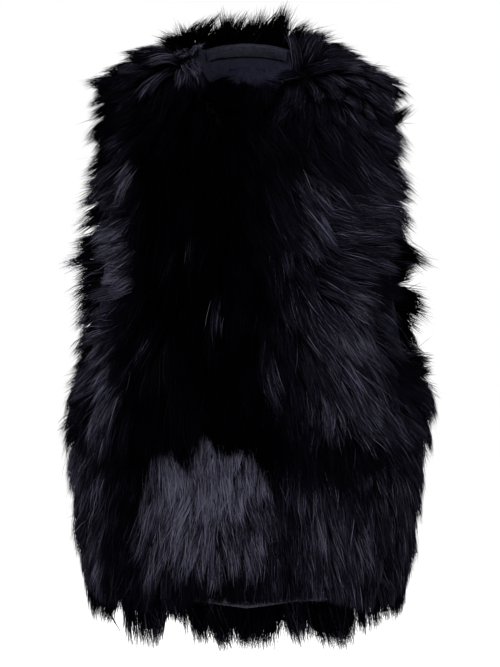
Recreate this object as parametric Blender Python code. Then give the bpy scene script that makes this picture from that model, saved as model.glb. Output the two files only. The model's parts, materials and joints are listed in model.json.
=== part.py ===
"""Sleeveless long-haired fur vest, filled out as if worn and open at neck, armholes and hem.

Metres, +Z up. The front faces -Y and the wearer's right side is at -X. The origin lies midway
between the inner ends of the two shoulder seams, where the vest rests on its wearer.

The body is one smooth form with a ring at each level. Every panel is a patch of that form between
four edges, and everything that lies on a panel is made from its points, moved along the normals.
"""

from collections import namedtuple

import bmesh
import bpy
import numpy as np

# Cloth and fur, in metres
SKIN_WALL = 0.0018
SEAM_GAP = 0.0003
FUR_REACH = 0.021

# Neck, shoulders and front edges, in metres unless named otherwise
NECK_HALF_WIDTH = 0.062
FRONT_NECK_DROP = 0.086
BACK_NECK_DROP = 0.010
BACK_NECK_RISE = 0.009
BACK_NECK_RISE_STARTS = -0.15
SHOULDER_DROP = 0.19
SHOULDER_TANGENT = 0.47
TILT_STARTS = -0.30
TILT_ENDS = -0.05
RIDGE_SOFTENING = 0.07
LAP_AT_CHEST = 0.020
LAP_AT_HEM = 0.038
LAP_TURNS_AT = -0.40
UNDERLAP = 0.024
UNDERLAP_STEP = 0.0062
UNDERLAP_RAMP_STARTS = 0.005
UNDERLAP_RAMP_ENDS = 0.035
LAP_CLEARANCE = 0.002
NECK_POWER = 2.3
RING_POWER = 2.3

# How far the fur hangs over each free edge, in metres
ARMHOLE_OVERHANG = 0.020
BACK_NECK_OVERHANG = 0.034
FRONT_NECK_OVERHANG = 0.008
FRONT_EDGE_OVERHANG = 0.008
FRONT_HEM_OVERHANG = 0.006
TAIL_OVERHANG = 0.052
SIDE_SHARE_OF_TAIL = 0.35
SHOULDER_SHARE_OF_NECK = 0.6
OVERHANG_HEIGHT = 0.7
FUR_ABOVE_FRONT_BINDING = 0.0015
FUR_ABOVE_TAIL_BINDING = 0.0065

# Small pieces, in metres
BINDING_WALL = 0.0010
BINDING_LEG = 0.006
FACING_HALF_WIDTH = 0.054
FACING_DEPTH = 0.024
FACING_WALL = 0.0010
PATCH_GAP = 0.0022
PATCH_EDGE_GAP = 0.0008
LABEL_HALF_WIDTH = 0.025
LABEL_HEIGHT = 0.026
LABEL_WALL = 0.0006

# Grid of every panel
ROWS_PER_STATION = 2
FRONT_COLUMNS = 8
BACK_COLUMNS = 10
UNDERLAP_COLUMNS = 2
FACING_COLUMNS = 14
LABEL_COLUMNS = 6
PATCH_ROWS = 2
STRIP_AT_SHOULDER = 0.02

# The body form: half width, and depth before and behind the side seams, at each level
Section = namedtuple("Section", "level half_width front_depth back_depth")
SECTIONS = (
    Section(-0.820, 0.164, 0.114, 0.118),
    Section(-0.740, 0.184, 0.121, 0.124),
    Section(-0.680, 0.197, 0.127, 0.126),
    Section(-0.600, 0.208, 0.132, 0.125),
    Section(-0.500, 0.214, 0.135, 0.122),
    Section(-0.430, 0.213, 0.137, 0.120),
    Section(-0.300, 0.206, 0.139, 0.120),
    Section(-0.160, 0.196, 0.131, 0.118),
    Section(0.000, 0.186, 0.120, 0.112),
)

# The cut of a panel from hem to shoulder: the level of its inner edge, how far along the neckline
# that edge has run, the outer edge as a share of the half width, and the outer edge's level
Station = namedtuple("Station", "inner_level neck_share edge_share edge_level")
FRONT_CUT = (
    Station(-0.705, 0.00, 1.000, -0.694),
    Station(-0.600, 0.00, 1.000, -0.600),
    Station(-0.492, 0.00, 1.000, -0.492),
    Station(-0.425, 0.00, 1.000, -0.432),
    Station(-0.385, 0.00, 0.900, -0.408),
    Station(-0.325, 0.00, 0.790, -0.350),
    Station(-0.235, 0.00, 0.775, -0.250),
    Station(-0.150, 0.00, 0.815, -0.150),
    Station(-FRONT_NECK_DROP, 0.00, 0.855, -0.085),
    Station(-0.070, 0.60, 0.890, -0.048),
    Station(-0.040, 0.90, 0.925, -0.020),
    Station(-0.010, 0.985, 0.960, -0.004),
    Station(0.000, 1.00, 0.985, 0.000),
)
FRONT_SEAM_STATION = 2
UNDERARM_STATION = 3
FRONT_NECK_STATION = 8

BACK_CUT = (
    Station(-0.745, 0.00, 1.000, -0.694),
    Station(-0.615, 0.00, 1.000, -0.600),
    Station(-0.502, 0.00, 1.000, -0.492),
    Station(-0.430, 0.00, 1.000, -0.432),
    Station(-0.390, 0.00, 0.975, -0.405),
    Station(-0.330, 0.00, 0.940, -0.350),
    Station(-0.235, 0.00, 0.920, -0.250),
    Station(-0.140, 0.00, 0.920, -0.150),
    Station(-0.070, 0.00, 0.928, -0.085),
    Station(-BACK_NECK_DROP, 0.00, 0.944, -0.030),
    Station(-0.010, 0.36, 0.952, -0.016),
    Station(-0.010, 0.64, 0.962, -0.007),
    Station(-0.005, 0.86, 0.974, -0.002),
    Station(0.000, 1.00, 0.985, 0.000),
)
BACK_NECK_STATION = 9

# Directions in which the fur leans over the neck's edge
BACK_NECK_LEAN = (0.0, 0.35, 0.94)
FRONT_NECK_LEAN = (0.0, -0.55, 0.84)

LEATHER_COLOUR = (0.012, 0.012, 0.018, 1.0)
FUR_COLOUR = (0.006, 0.006, 0.009, 1.0)
LABEL_COLOUR = (0.010, 0.010, 0.020, 1.0)


def smooth_step(value, start, end):
    """Rise smoothly from 0 at start to 1 at end."""
    share = np.clip((np.asarray(value, float) - start) / (end - start), 0.0, 1.0)
    return share * share * (3.0 - 2.0 * share)


def smooth_curve(known_at, known, wanted_at):
    """Follow the known values with a smooth curve that never swings past them."""
    known_at = np.asarray(known_at, float)
    known = np.asarray(known, float)
    steps = np.diff(known_at)
    slopes = np.diff(known) / steps
    tangents = np.zeros_like(known)
    tangents[0] = slopes[0]
    tangents[-1] = slopes[-1]
    before = slopes[:-1]
    after = slopes[1:]
    turning = before * after > 0.0
    total = np.where(turning, before + after, 1.0)
    tangents[1:-1] = np.where(turning, 2.0 * before * after / total, 0.0)
    index = np.clip(np.searchsorted(known_at, wanted_at) - 1, 0, len(steps) - 1)
    step = steps[index]
    share = (np.asarray(wanted_at, float) - known_at[index]) / step
    rise = share * share * (3.0 - 2.0 * share)
    leaving = share * (1.0 - share) ** 2
    arriving = share * share * (share - 1.0)
    blend = known[index] * (1.0 - rise) + known[index + 1] * rise
    return blend + step * (leaving * tangents[index] + arriving * tangents[index + 1])


def section_size(column, level):
    """Look up one column of the body form at any level."""
    levels = [section.level for section in SECTIONS]
    values = [getattr(section, column) for section in SECTIONS]
    return smooth_curve(levels, values, level)


def body_point(angle, level, front):
    """Find the points of the body form; the angle is 0 at the centre line and 90 degrees at the side."""
    angle, level = np.broadcast_arrays(np.asarray(angle, float), np.asarray(level, float))
    fallen = np.clip(1.0 + level / SHOULDER_DROP, 0.0, 1.0)
    rounding = np.sqrt(np.maximum(1.0 - fallen * fallen, 0.0))
    depth = section_size("front_depth" if front else "back_depth", level) * rounding
    sine = np.sin(angle)
    cosine = np.maximum(np.cos(angle), 0.0)
    x = section_size("half_width", level) * np.sign(sine) * np.abs(sine) ** (2.0 / RING_POWER)
    y = depth * cosine ** (2.0 / RING_POWER) + SEAM_GAP / 2.0
    slope = SHOULDER_TANGENT * smooth_step(level, TILT_STARTS, TILT_ENDS)
    beyond_neck = np.hypot(x, RIDGE_SOFTENING) - np.hypot(NECK_HALF_WIDTH, RIDGE_SOFTENING)
    z = level - slope * beyond_neck
    if not front:
        within_neck = np.maximum(1.0 - (x / NECK_HALF_WIDTH) ** 4, 0.0)
        z = z + BACK_NECK_RISE * within_neck * smooth_step(level, BACK_NECK_RISE_STARTS, 0.0)
    return np.stack((x, -y if front else y, z), axis=-1)


def body_normal(angle, level, front):
    """Find the outward normals of the body form by small differences."""
    small = 1e-5
    angle = np.asarray(angle, float)
    level = np.asarray(level, float)
    across = body_point(angle + small, level, front) - body_point(angle - small, level, front)
    upper = np.minimum(level + small, 0.0)
    along = body_point(angle, upper, front) - body_point(angle, upper - 2.0 * small, front)
    normal = np.cross(across, along)
    if not front:
        normal = -normal
    return normal / np.linalg.norm(normal, axis=-1, keepdims=True)


def angle_across(x, level):
    """Find the angle at which the body form is x from the centre line."""
    share = np.clip(np.abs(x) / section_size("half_width", level), 0.0, 1.0)
    return np.sign(x) * np.arcsin(share ** (RING_POWER / 2.0))


def neckline_level(x, drop):
    """Find the level of a neckline that drops below the shoulder at the centre line."""
    share = np.clip(np.abs(x) / NECK_HALF_WIDTH, 0.0, 1.0)
    return -drop * np.maximum(1.0 - share ** NECK_POWER, 0.0) ** (1.0 / NECK_POWER)


def lap_edge(level):
    """Find how far past the centre line the right front reaches over the left one."""
    share = smooth_step(-np.asarray(level, float), -LAP_TURNS_AT, -FRONT_CUT[0].inner_level)
    return LAP_AT_CHEST + (LAP_AT_HEM - LAP_AT_CHEST) * share


def panel_grid(cut, columns, neck_drop, inner_x, inner_columns=0, inner_width=None):
    """Lay rows and columns over a panel's cut and return their angles and levels.

    inner_x gives the inner edge's place from its level, positive on the panel's own side. The first
    inner_columns lie between that edge and the place that inner_width gives, and shrink to almost
    nothing along the neckline.
    """
    stations = np.arange(len(cut), dtype=float)
    rows = np.linspace(0.0, stations[-1], (len(cut) - 1) * ROWS_PER_STATION + 1)

    def column(name):
        return smooth_curve(stations, [getattr(station, name) for station in cut], rows)

    inner_level = column("inner_level")
    neck_share = np.clip(column("neck_share"), 0.0, 1.0)
    corner_x = inner_x(np.array(-neck_drop))
    on_neckline = neck_share > 0.0
    x = np.where(on_neckline, corner_x + (NECK_HALF_WIDTH - corner_x) * neck_share, inner_x(inner_level))
    neck_level = neckline_level(x, neck_drop)
    inner_level = np.where(on_neckline, neck_level, np.minimum(inner_level, neck_level))
    edge_level = column("edge_level")
    edge_x = np.minimum(column("edge_share"), 1.0) * section_size("half_width", edge_level)
    inner_angle = angle_across(x, inner_level)
    edge_angle = angle_across(edge_x, edge_level)
    share = np.tile(np.linspace(0.0, 1.0, columns + 1), (len(rows), 1))
    if inner_columns:
        strip_angle = angle_across(inner_width(inner_level), inner_level)
        strip = (strip_angle - inner_angle) / (edge_angle - inner_angle)
        corner_strip = strip[~on_neckline][-1]
        neck_strip = corner_strip * (1.0 - neck_share) + STRIP_AT_SHOULDER
        strip = np.where(on_neckline, neck_strip, strip)[:, None]
        narrow = np.linspace(0.0, 1.0, inner_columns + 1)[:-1] * strip
        share = np.concatenate((narrow, strip + (1.0 - strip) * share), axis=1)
    angle = inner_angle[:, None] + (edge_angle - inner_angle)[:, None] * share
    level = inner_level[:, None] + (edge_level - inner_level)[:, None] * share
    return angle, level


def front_grid(side):
    """Lay the grid of one front; the left one has extra columns under the right one's lap."""
    if side < 0:
        return panel_grid(FRONT_CUT, FRONT_COLUMNS, FRONT_NECK_DROP, lambda level: -lap_edge(level))
    return panel_grid(
        FRONT_CUT,
        FRONT_COLUMNS,
        FRONT_NECK_DROP,
        lambda level: np.full_like(level, -UNDERLAP),
        UNDERLAP_COLUMNS,
        lambda level: lap_edge(level) + FRONT_EDGE_OVERHANG + LAP_CLEARANCE,
    )


def back_grid():
    """Lay the grid of one half of the back."""
    return panel_grid(BACK_CUT, BACK_COLUMNS, BACK_NECK_DROP, np.zeros_like)


def panel_layer(angle, level, front, side, height):
    """Move a panel's points out by a height and put them on the wearer's right (-1) or left (+1)."""
    height = np.broadcast_to(np.asarray(height, float), angle.shape)
    points = body_point(angle, level, front) + height[..., None] * body_normal(angle, level, front)
    return points * np.array((side, 1.0, 1.0))


def material_for(name, colour):
    """Make the node's own plain material."""
    material = bpy.data.materials.new(name)
    material.use_nodes = True
    shader = material.node_tree.nodes["Principled BSDF"]
    shader.inputs["Base Color"].default_value = colour
    shader.inputs["Roughness"].default_value = 0.6
    return material


def add_node(name, mesh, colour):
    """Close a bmesh into one named object with its faces turned outward."""
    bmesh.ops.remove_doubles(mesh, verts=mesh.verts, dist=1e-6)
    bmesh.ops.triangulate(mesh, faces=mesh.faces, quad_method="FIXED")
    bmesh.ops.recalc_face_normals(mesh, faces=mesh.faces)
    data = bpy.data.meshes.new(name)
    mesh.to_mesh(data)
    mesh.free()
    data.materials.append(material_for(name, colour))
    node = bpy.data.objects.new(name, data)
    bpy.context.scene.collection.objects.link(node)
    return node


def border_of(rows, columns, open_rows):
    """Walk round a grid's border; the first open_rows rows of its inner edge are left out."""
    bottom = [(0, column) for column in range(columns)]
    outer = [(row, columns - 1) for row in range(1, rows)]
    top = [(rows - 1, column) for column in range(columns - 2, -1, -1)]
    inner = [(row, 0) for row in range(rows - 2, open_rows - 1, -1)]
    return bottom + outer + top + inner


def add_slab(mesh, inner, outer, rim=None, open_rows=0):
    """Add a wall between two grids of points; a rim, where given, bulges its border outward."""
    rows, columns = inner.shape[:2]
    low = [[mesh.verts.new(point) for point in row] for row in inner]
    high = [[mesh.verts.new(point) for point in row] for row in outer]
    for layer in (low, high):
        for row in range(rows - 1):
            for column in range(columns - 1):
                mesh.faces.new((
                    layer[row][column], layer[row][column + 1],
                    layer[row + 1][column + 1], layer[row + 1][column],
                ))
    walk = border_of(rows, columns, open_rows)
    rim_verts = {}
    if rim is not None:
        rim_verts = {place: mesh.verts.new(rim[place]) for place in set(walk)}
    for here, there in zip(walk, walk[1:]):
        low_pair = (low[here[0]][here[1]], low[there[0]][there[1]])
        high_pair = (high[there[0]][there[1]], high[here[0]][here[1]])
        if rim is None:
            mesh.faces.new(low_pair + high_pair)
        else:
            mesh.faces.new(low_pair + (rim_verts[there], rim_verts[here]))
            mesh.faces.new((rim_verts[here], rim_verts[there]) + high_pair)


def unit(vectors):
    """Scale vectors to length 1."""
    return vectors / np.linalg.norm(vectors, axis=-1, keepdims=True)


def fur_rim(inner, outer, overhangs, neck_lean, neck_row, underarm_row):
    """Push a fur's border out past its panel's free edges, by each edge's overhang."""
    middle = inner + OVERHANG_HEIGHT * (outer - inner)
    rim = middle.copy()
    rows, columns = middle.shape[:2]
    row_numbers = np.arange(rows)
    hem = overhangs["hem"] * np.linspace(1.0, overhangs["hem_side_share"], columns)
    rim[0] += hem[:, None] * unit(middle[0] - middle[1])
    armhole = overhangs["armhole"] * smooth_step(row_numbers, underarm_row, underarm_row + 2)
    rim[:, -1] += armhole[:, None] * unit(middle[:, -1] - middle[:, -2])
    toward_shoulder = smooth_step(row_numbers, neck_row, rows - 1)
    neck = overhangs["neck"] * (1.0 + (SHOULDER_SHARE_OF_NECK - 1.0) * toward_shoulder)
    neck = neck * (row_numbers >= neck_row)
    rim[:, 0] += neck[:, None] * np.array(neck_lean)
    front_edge = overhangs["front_edge"] * (row_numbers < neck_row)
    rim[:, 0] += front_edge[:, None] * unit(middle[:, 0] - middle[:, 1])
    return rim


def front_lift(side, angle, level):
    """Step the left front inward where the right front lies over it."""
    if side < 0:
        return np.zeros_like(level)
    x = body_point(angle, level, True)[..., 0]
    edge = lap_edge(level)
    level_again = smooth_step(x, edge + UNDERLAP_RAMP_STARTS, edge + UNDERLAP_RAMP_ENDS)
    return -UNDERLAP_STEP * (1.0 - level_again)


def front_pelts(side):
    """Build the two pelts of one front: each a skin and the fur on it."""
    name = "front_right" if side < 0 else "front_left"
    seam_row = FRONT_SEAM_STATION * ROWS_PER_STATION
    angle, level = front_grid(side)
    first_column = 0 if side < 0 else UNDERLAP_COLUMNS
    lower_level = level[:seam_row + 1].copy()
    lower_level[-1] -= SEAM_GAP / 2.0
    upper_level = level[seam_row:].copy()
    upper_level[0] += SEAM_GAP / 2.0
    pelts = (
        ("lower", 0, angle[:seam_row + 1], lower_level),
        ("upper", seam_row, angle[seam_row:], upper_level),
    )
    for part, first_row, angle, level in pelts:
        lift = front_lift(side, angle, level)
        mesh = bmesh.new()
        add_slab(
            mesh,
            panel_layer(angle, level, True, side, lift),
            panel_layer(angle, level, True, side, lift + SKIN_WALL),
        )
        add_node(f"{name}_{part}_skin", mesh, LEATHER_COLOUR)

        angle = angle[:, first_column:]
        level = level[:, first_column:]
        if part == "lower":
            level[0] += BINDING_LEG + FUR_ABOVE_FRONT_BINDING
        overhangs = {
            "hem": FRONT_HEM_OVERHANG if part == "lower" else 0.0,
            "hem_side_share": 1.0,
            "armhole": ARMHOLE_OVERHANG,
            "neck": FRONT_NECK_OVERHANG,
            "front_edge": FRONT_EDGE_OVERHANG if side < 0 else 0.0,
        }
        base = front_lift(side, angle, level) + SKIN_WALL + SEAM_GAP
        inner = panel_layer(angle, level, True, side, base)
        outer = panel_layer(angle, level, True, side, SKIN_WALL + SEAM_GAP + FUR_REACH)
        rim = fur_rim(
            inner,
            outer,
            overhangs,
            FRONT_NECK_LEAN,
            FRONT_NECK_STATION * ROWS_PER_STATION - first_row,
            UNDERARM_STATION * ROWS_PER_STATION - first_row,
        )
        mesh = bmesh.new()
        add_slab(mesh, inner, outer, rim)
        add_node(f"{name}_{part}_fur", mesh, FUR_COLOUR)


def back_pelt():
    """Build the back's skin and fur, each as two mirrored halves that share their centre line."""
    neck_row = BACK_NECK_STATION * ROWS_PER_STATION
    underarm_row = UNDERARM_STATION * ROWS_PER_STATION
    angle, level = back_grid()
    mesh = bmesh.new()
    for side in (-1, 1):
        inner = panel_layer(angle, level, False, side, 0.0)
        outer = panel_layer(angle, level, False, side, SKIN_WALL)
        add_slab(mesh, inner, outer, open_rows=neck_row)
    add_node("back_skin", mesh, LEATHER_COLOUR)

    level[0] += BINDING_LEG + FUR_ABOVE_TAIL_BINDING
    overhangs = {
        "hem": TAIL_OVERHANG,
        "hem_side_share": SIDE_SHARE_OF_TAIL,
        "armhole": ARMHOLE_OVERHANG,
        "neck": BACK_NECK_OVERHANG,
        "front_edge": 0.0,
    }
    mesh = bmesh.new()
    for side in (-1, 1):
        inner = panel_layer(angle, level, False, side, SKIN_WALL + SEAM_GAP)
        outer = panel_layer(angle, level, False, side, SKIN_WALL + SEAM_GAP + FUR_REACH)
        rim = fur_rim(inner, outer, overhangs, BACK_NECK_LEAN, neck_row, underarm_row)
        add_slab(mesh, inner, outer, rim, open_rows=neck_row)
    add_node("back_fur", mesh, FUR_COLOUR)


def add_binding(mesh, edge, down, outward):
    """Fold a strip round the lower edge of a skin and close its ends."""
    near = SEAM_GAP
    far = SEAM_GAP + BINDING_WALL
    profile = (
        (SKIN_WALL + far, -BINDING_LEG), (SKIN_WALL + far, far), (-far, far), (-far, -BINDING_LEG),
        (-near, -BINDING_LEG), (-near, near), (SKIN_WALL + near, near), (SKIN_WALL + near, -BINDING_LEG),
    )
    rings = []
    for point, below, out in zip(edge, down, outward):
        rings.append([mesh.verts.new(point + out * away + below * low) for away, low in profile])
    size = len(profile)
    for ring, following in zip(rings, rings[1:]):
        for index in range(size):
            after = (index + 1) % size
            mesh.faces.new((ring[index], ring[after], following[after], following[index]))
    for ring in (rings[0], rings[-1]):
        mesh.faces.new(ring)


def hem_bindings():
    """Bind the hem of both fronts and of the back."""
    for name, side in (("hem_binding_right", -1), ("hem_binding_left", 1)):
        angle, level = front_grid(side)
        lift = front_lift(side, angle, level)
        points = panel_layer(angle, level, True, side, lift)
        outward = panel_layer(angle, level, True, side, lift + 1.0) - points
        mesh = bmesh.new()
        add_binding(mesh, points[0], unit(points[0] - points[1]), outward[0])
        add_node(name, mesh, LEATHER_COLOUR)

    angle, level = back_grid()
    halves = []
    for side in (-1, 1):
        points = panel_layer(angle, level, False, side, 0.0)
        outward = panel_layer(angle, level, False, side, 1.0) - points
        halves.append((points[0], unit(points[0] - points[1]), outward[0]))
    right, left = halves
    whole = [np.concatenate((there[::-1], here[1:])) for there, here in zip(right, left)]
    mesh = bmesh.new()
    add_binding(mesh, *whole)
    add_node("hem_binding_back", mesh, LEATHER_COLOUR)


def level_below(x, start, distance):
    """Find the level that lies a distance below another, measured on the back at one x."""
    trial = np.linspace(start, start - distance - 0.02, 400)
    points = body_point(np.abs(angle_across(x, trial)), trial, False)
    travelled = np.concatenate(([0.0], np.cumsum(np.linalg.norm(np.diff(points, axis=0), axis=1))))
    return np.interp(distance, travelled, trial)


def neck_patch(name, half_width, columns, top, bottom, wall, colour):
    """Lay a patch inside the back, between two distances below the neck's edge."""
    places = np.linspace(-half_width, half_width, columns + 1)
    distances = np.linspace(top, bottom, PATCH_ROWS + 1)
    level = np.empty((len(distances), len(places)))
    for column, x in enumerate(places):
        edge = float(neckline_level(x, BACK_NECK_DROP))
        for row, distance in enumerate(distances):
            level[row, column] = level_below(x, edge, distance)
    angle = angle_across(np.broadcast_to(places, level.shape), level)
    mesh = bmesh.new()
    add_slab(
        mesh,
        panel_layer(angle, level, False, 1, -PATCH_GAP - wall),
        panel_layer(angle, level, False, 1, -PATCH_GAP),
    )
    add_node(name, mesh, colour)


def build_vest():
    """Clear the scene and build every piece."""
    for leftover in list(bpy.data.objects):
        bpy.data.objects.remove(leftover, do_unlink=True)
    for side in (-1, 1):
        front_pelts(side)
    back_pelt()
    hem_bindings()
    neck_patch(
        "neck_facing",
        FACING_HALF_WIDTH,
        FACING_COLUMNS,
        PATCH_EDGE_GAP,
        FACING_DEPTH,
        FACING_WALL,
        LEATHER_COLOUR,
    )
    label_top = FACING_DEPTH + PATCH_EDGE_GAP
    neck_patch(
        "label",
        LABEL_HALF_WIDTH,
        LABEL_COLUMNS,
        label_top,
        label_top + LABEL_HEIGHT,
        LABEL_WALL,
        LABEL_COLOUR,
    )


build_vest()
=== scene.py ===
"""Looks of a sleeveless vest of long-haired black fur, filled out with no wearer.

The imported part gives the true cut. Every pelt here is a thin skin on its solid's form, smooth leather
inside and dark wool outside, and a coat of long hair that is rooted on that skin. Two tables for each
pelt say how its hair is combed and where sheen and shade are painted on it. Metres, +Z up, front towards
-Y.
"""

from __future__ import annotations

import json
import logging
import math
from dataclasses import dataclass, field, replace
from enum import Enum
from typing import TypeVar

import bmesh
import bpy
import numpy as np
from mathutils import Matrix, Vector
from mathutils.bvhtree import BVHTree
from mathutils.kdtree import KDTree

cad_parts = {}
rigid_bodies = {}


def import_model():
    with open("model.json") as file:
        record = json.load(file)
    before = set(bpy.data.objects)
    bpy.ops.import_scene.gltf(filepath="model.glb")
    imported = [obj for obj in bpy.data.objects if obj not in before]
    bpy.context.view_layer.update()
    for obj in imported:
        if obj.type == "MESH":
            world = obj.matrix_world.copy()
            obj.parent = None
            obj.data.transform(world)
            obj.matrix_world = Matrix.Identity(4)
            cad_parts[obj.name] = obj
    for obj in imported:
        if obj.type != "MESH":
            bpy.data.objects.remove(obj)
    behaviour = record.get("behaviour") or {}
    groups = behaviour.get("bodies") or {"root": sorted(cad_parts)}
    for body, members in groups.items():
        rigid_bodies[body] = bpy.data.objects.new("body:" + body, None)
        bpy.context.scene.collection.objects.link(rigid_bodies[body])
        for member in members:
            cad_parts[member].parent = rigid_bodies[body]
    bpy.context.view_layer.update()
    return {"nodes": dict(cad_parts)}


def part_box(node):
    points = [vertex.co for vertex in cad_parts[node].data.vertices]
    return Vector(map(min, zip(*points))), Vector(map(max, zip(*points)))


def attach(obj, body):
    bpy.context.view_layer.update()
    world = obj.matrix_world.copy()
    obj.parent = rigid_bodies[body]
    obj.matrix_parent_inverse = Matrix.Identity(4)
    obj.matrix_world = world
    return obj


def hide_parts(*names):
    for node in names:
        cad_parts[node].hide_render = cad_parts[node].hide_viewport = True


LOG = logging.getLogger("fur_vest")

BODY = "root"
HAIR_MAP = "OFBake"
PICTURE_HEIGHT = 667
MERGE_DISTANCE = 1e-5
MERGE_DECIMALS = 6
SHORTEST_VECTOR = 1e-12
SHARP_TRIM_EDGE = math.radians(55.0)
# A wave texture of scale 1 has this many waves in a metre.
WAVES_PER_SCALE = 20.0 / (2.0 * math.pi)
# The heights between which the body's middle line runs. A face's outside is told from its inside by it.
MIDDLE_LINE = (-0.72, -0.17)
DOWN = np.array((0.0, 0.0, -1.0))

Colour = tuple[float, float, float]
Spot = TypeVar("Spot", "NapSpot", "DyeSpot")


class Slot(Enum):
    """The record's material slots."""

    LEATHER = "leather"
    FUR = "fur"
    LABEL = "label"


class SeenFrom(Enum):
    """The side that a piece shows on, as the way along Y that an eye looks at it."""

    FRONT = 1.0
    BACK = -1.0

    def direction(self) -> Vector:
        """Give the way that the eye looks."""
        return Vector((0.0, self.value, 0.0))


def unit(vectors: np.ndarray) -> np.ndarray:
    """Scale vectors to length 1.

    Args:
        vectors: Any array of vectors, in its last axis.

    Returns:
        The array of unit vectors.
    """
    return vectors / np.maximum(np.linalg.norm(vectors, axis=-1, keepdims=True), SHORTEST_VECTOR)


def new_piece(name: str, mesh: bpy.types.Mesh) -> bpy.types.Object:
    """Put a mesh into the scene as a piece that rides on the vest's only body.

    Args:
        name: The piece's name.
        mesh: Its finished mesh, already in place.

    Returns:
        The new object.
    """
    piece = bpy.data.objects.new(name, mesh)
    bpy.context.scene.collection.objects.link(piece)
    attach(piece, BODY)
    LOG.info("%s: %d faces", name, len(mesh.polygons))
    return piece


def smooth_mesh(name: str, shape: bmesh.types.BMesh, *finishes: bpy.types.Material) -> bpy.types.Mesh:
    """Turn a worked shape into a smooth mesh and dress it.

    Args:
        name: The mesh's name.
        shape: The shape, which is freed.
        finishes: Its materials, in the order of the numbers on its faces.

    Returns:
        The mesh.
    """
    for face in shape.faces:
        face.smooth = True
    mesh = bpy.data.meshes.new(name)
    shape.to_mesh(mesh)
    shape.free()
    for finish in finishes:
        mesh.materials.append(finish)
    return mesh


def plain_material(name: str) -> tuple[bpy.types.Material, bpy.types.Node]:
    """Start a node material.

    Args:
        name: The material's name.

    Returns:
        The material and its Principled shader.
    """
    material = bpy.data.materials.new(name)
    material.use_nodes = True
    return material, material.node_tree.nodes["Principled BSDF"]


def colour_ramp(material: bpy.types.Material, *stops: tuple[float, Colour]) -> bpy.types.Node:
    """Add a ramp of colours to a material.

    Args:
        material: The material.
        stops: Each stop's place from 0 to 1 and its colour, in order.

    Returns:
        The ramp's node.
    """
    ramp = material.node_tree.nodes.new("ShaderNodeValToRGB")
    elements = ramp.color_ramp.elements
    for place, _ in stops[1:-1]:
        elements.new(place)
    for element, (place, colour) in zip(elements, stops):
        element.position = place
        element.color = (*colour, 1.0)
    return ramp


@dataclass(frozen=True)
class GrainGroup:
    """The grain of tanned hide, shared by every leather: fine pores over slow stretch marks."""

    name: str = "hide_grain"
    pore_scale: float = 900.0
    pore_share: float = 0.35
    crease_scale: float = 150.0
    crease_detail: float = 5.0
    crease_bend: float = 1.2

    def node_group(self) -> bpy.types.NodeTree:
        """Build the group once and return it afterwards.

        Returns:
            A group with an Amount input and Height and Shade outputs.
        """
        known = bpy.data.node_groups.get(self.name)
        if known is not None:
            return known
        tree = bpy.data.node_groups.new(self.name, "ShaderNodeTree")
        tree.interface.new_socket("Amount", in_out="INPUT", socket_type="NodeSocketFloat")
        tree.interface.new_socket("Height", in_out="OUTPUT", socket_type="NodeSocketFloat")
        tree.interface.new_socket("Shade", in_out="OUTPUT", socket_type="NodeSocketFloat")
        nodes, links = tree.nodes, tree.links
        entry = nodes.new("NodeGroupInput")
        leave = nodes.new("NodeGroupOutput")
        place = nodes.new("ShaderNodeTexCoord")
        pores = nodes.new("ShaderNodeTexVoronoi")
        pores.inputs["Scale"].default_value = self.pore_scale
        creases = nodes.new("ShaderNodeTexNoise")
        creases.inputs["Scale"].default_value = self.crease_scale
        creases.inputs["Detail"].default_value = self.crease_detail
        creases.inputs["Distortion"].default_value = self.crease_bend
        both = nodes.new("ShaderNodeMath")
        both.operation = "MULTIPLY_ADD"
        both.inputs[1].default_value = self.pore_share
        height = nodes.new("ShaderNodeMath")
        height.operation = "MULTIPLY"
        links.new(place.outputs["Object"], pores.inputs["Vector"])
        links.new(place.outputs["Object"], creases.inputs["Vector"])
        links.new(pores.outputs["Distance"], both.inputs[0])
        links.new(creases.outputs["Fac"], both.inputs[2])
        links.new(both.outputs["Value"], height.inputs[0])
        links.new(entry.outputs["Amount"], height.inputs[1])
        links.new(height.outputs["Value"], leave.inputs["Height"])
        links.new(creases.outputs["Fac"], leave.inputs["Shade"])
        return tree


@dataclass(frozen=True)
class LeatherFinish:
    """Dyed leather with a grain.

    The two colours and the two values of roughness are for dense hide and for hide that is stretched
    thin, and span is where the grain's shade goes from the one to the other.
    """

    name: str
    dense: Colour
    thin: Colour
    roughness: tuple[float, float]
    grain: float
    grain_depth: float = 0.0005
    specular: float = 0.25
    span: tuple[float, float] = (0.36, 0.66)

    def material(self) -> bpy.types.Material:
        """Build the leather.

        Returns:
            The finished material.
        """
        material, shader = plain_material(self.name)
        nodes, links = material.node_tree.nodes, material.node_tree.links
        grain = nodes.new("ShaderNodeGroup")
        grain.node_tree = GrainGroup().node_group()
        grain.inputs["Amount"].default_value = self.grain
        dye = colour_ramp(material, *zip(self.span, (self.dense, self.thin)))
        gloss = nodes.new("ShaderNodeMapRange")
        gloss.inputs["From Min"].default_value, gloss.inputs["From Max"].default_value = self.span
        gloss.inputs["To Min"].default_value, gloss.inputs["To Max"].default_value = self.roughness
        bump = nodes.new("ShaderNodeBump")
        bump.inputs["Distance"].default_value = self.grain_depth
        links.new(grain.outputs["Shade"], dye.inputs["Fac"])
        links.new(grain.outputs["Shade"], gloss.inputs["Value"])
        links.new(grain.outputs["Height"], bump.inputs["Height"])
        links.new(dye.outputs["Color"], shader.inputs["Base Color"])
        links.new(gloss.outputs["Result"], shader.inputs["Roughness"])
        links.new(bump.outputs["Normal"], shader.inputs["Normal"])
        shader.inputs["Specular IOR Level"].default_value = self.specular
        return material


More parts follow.
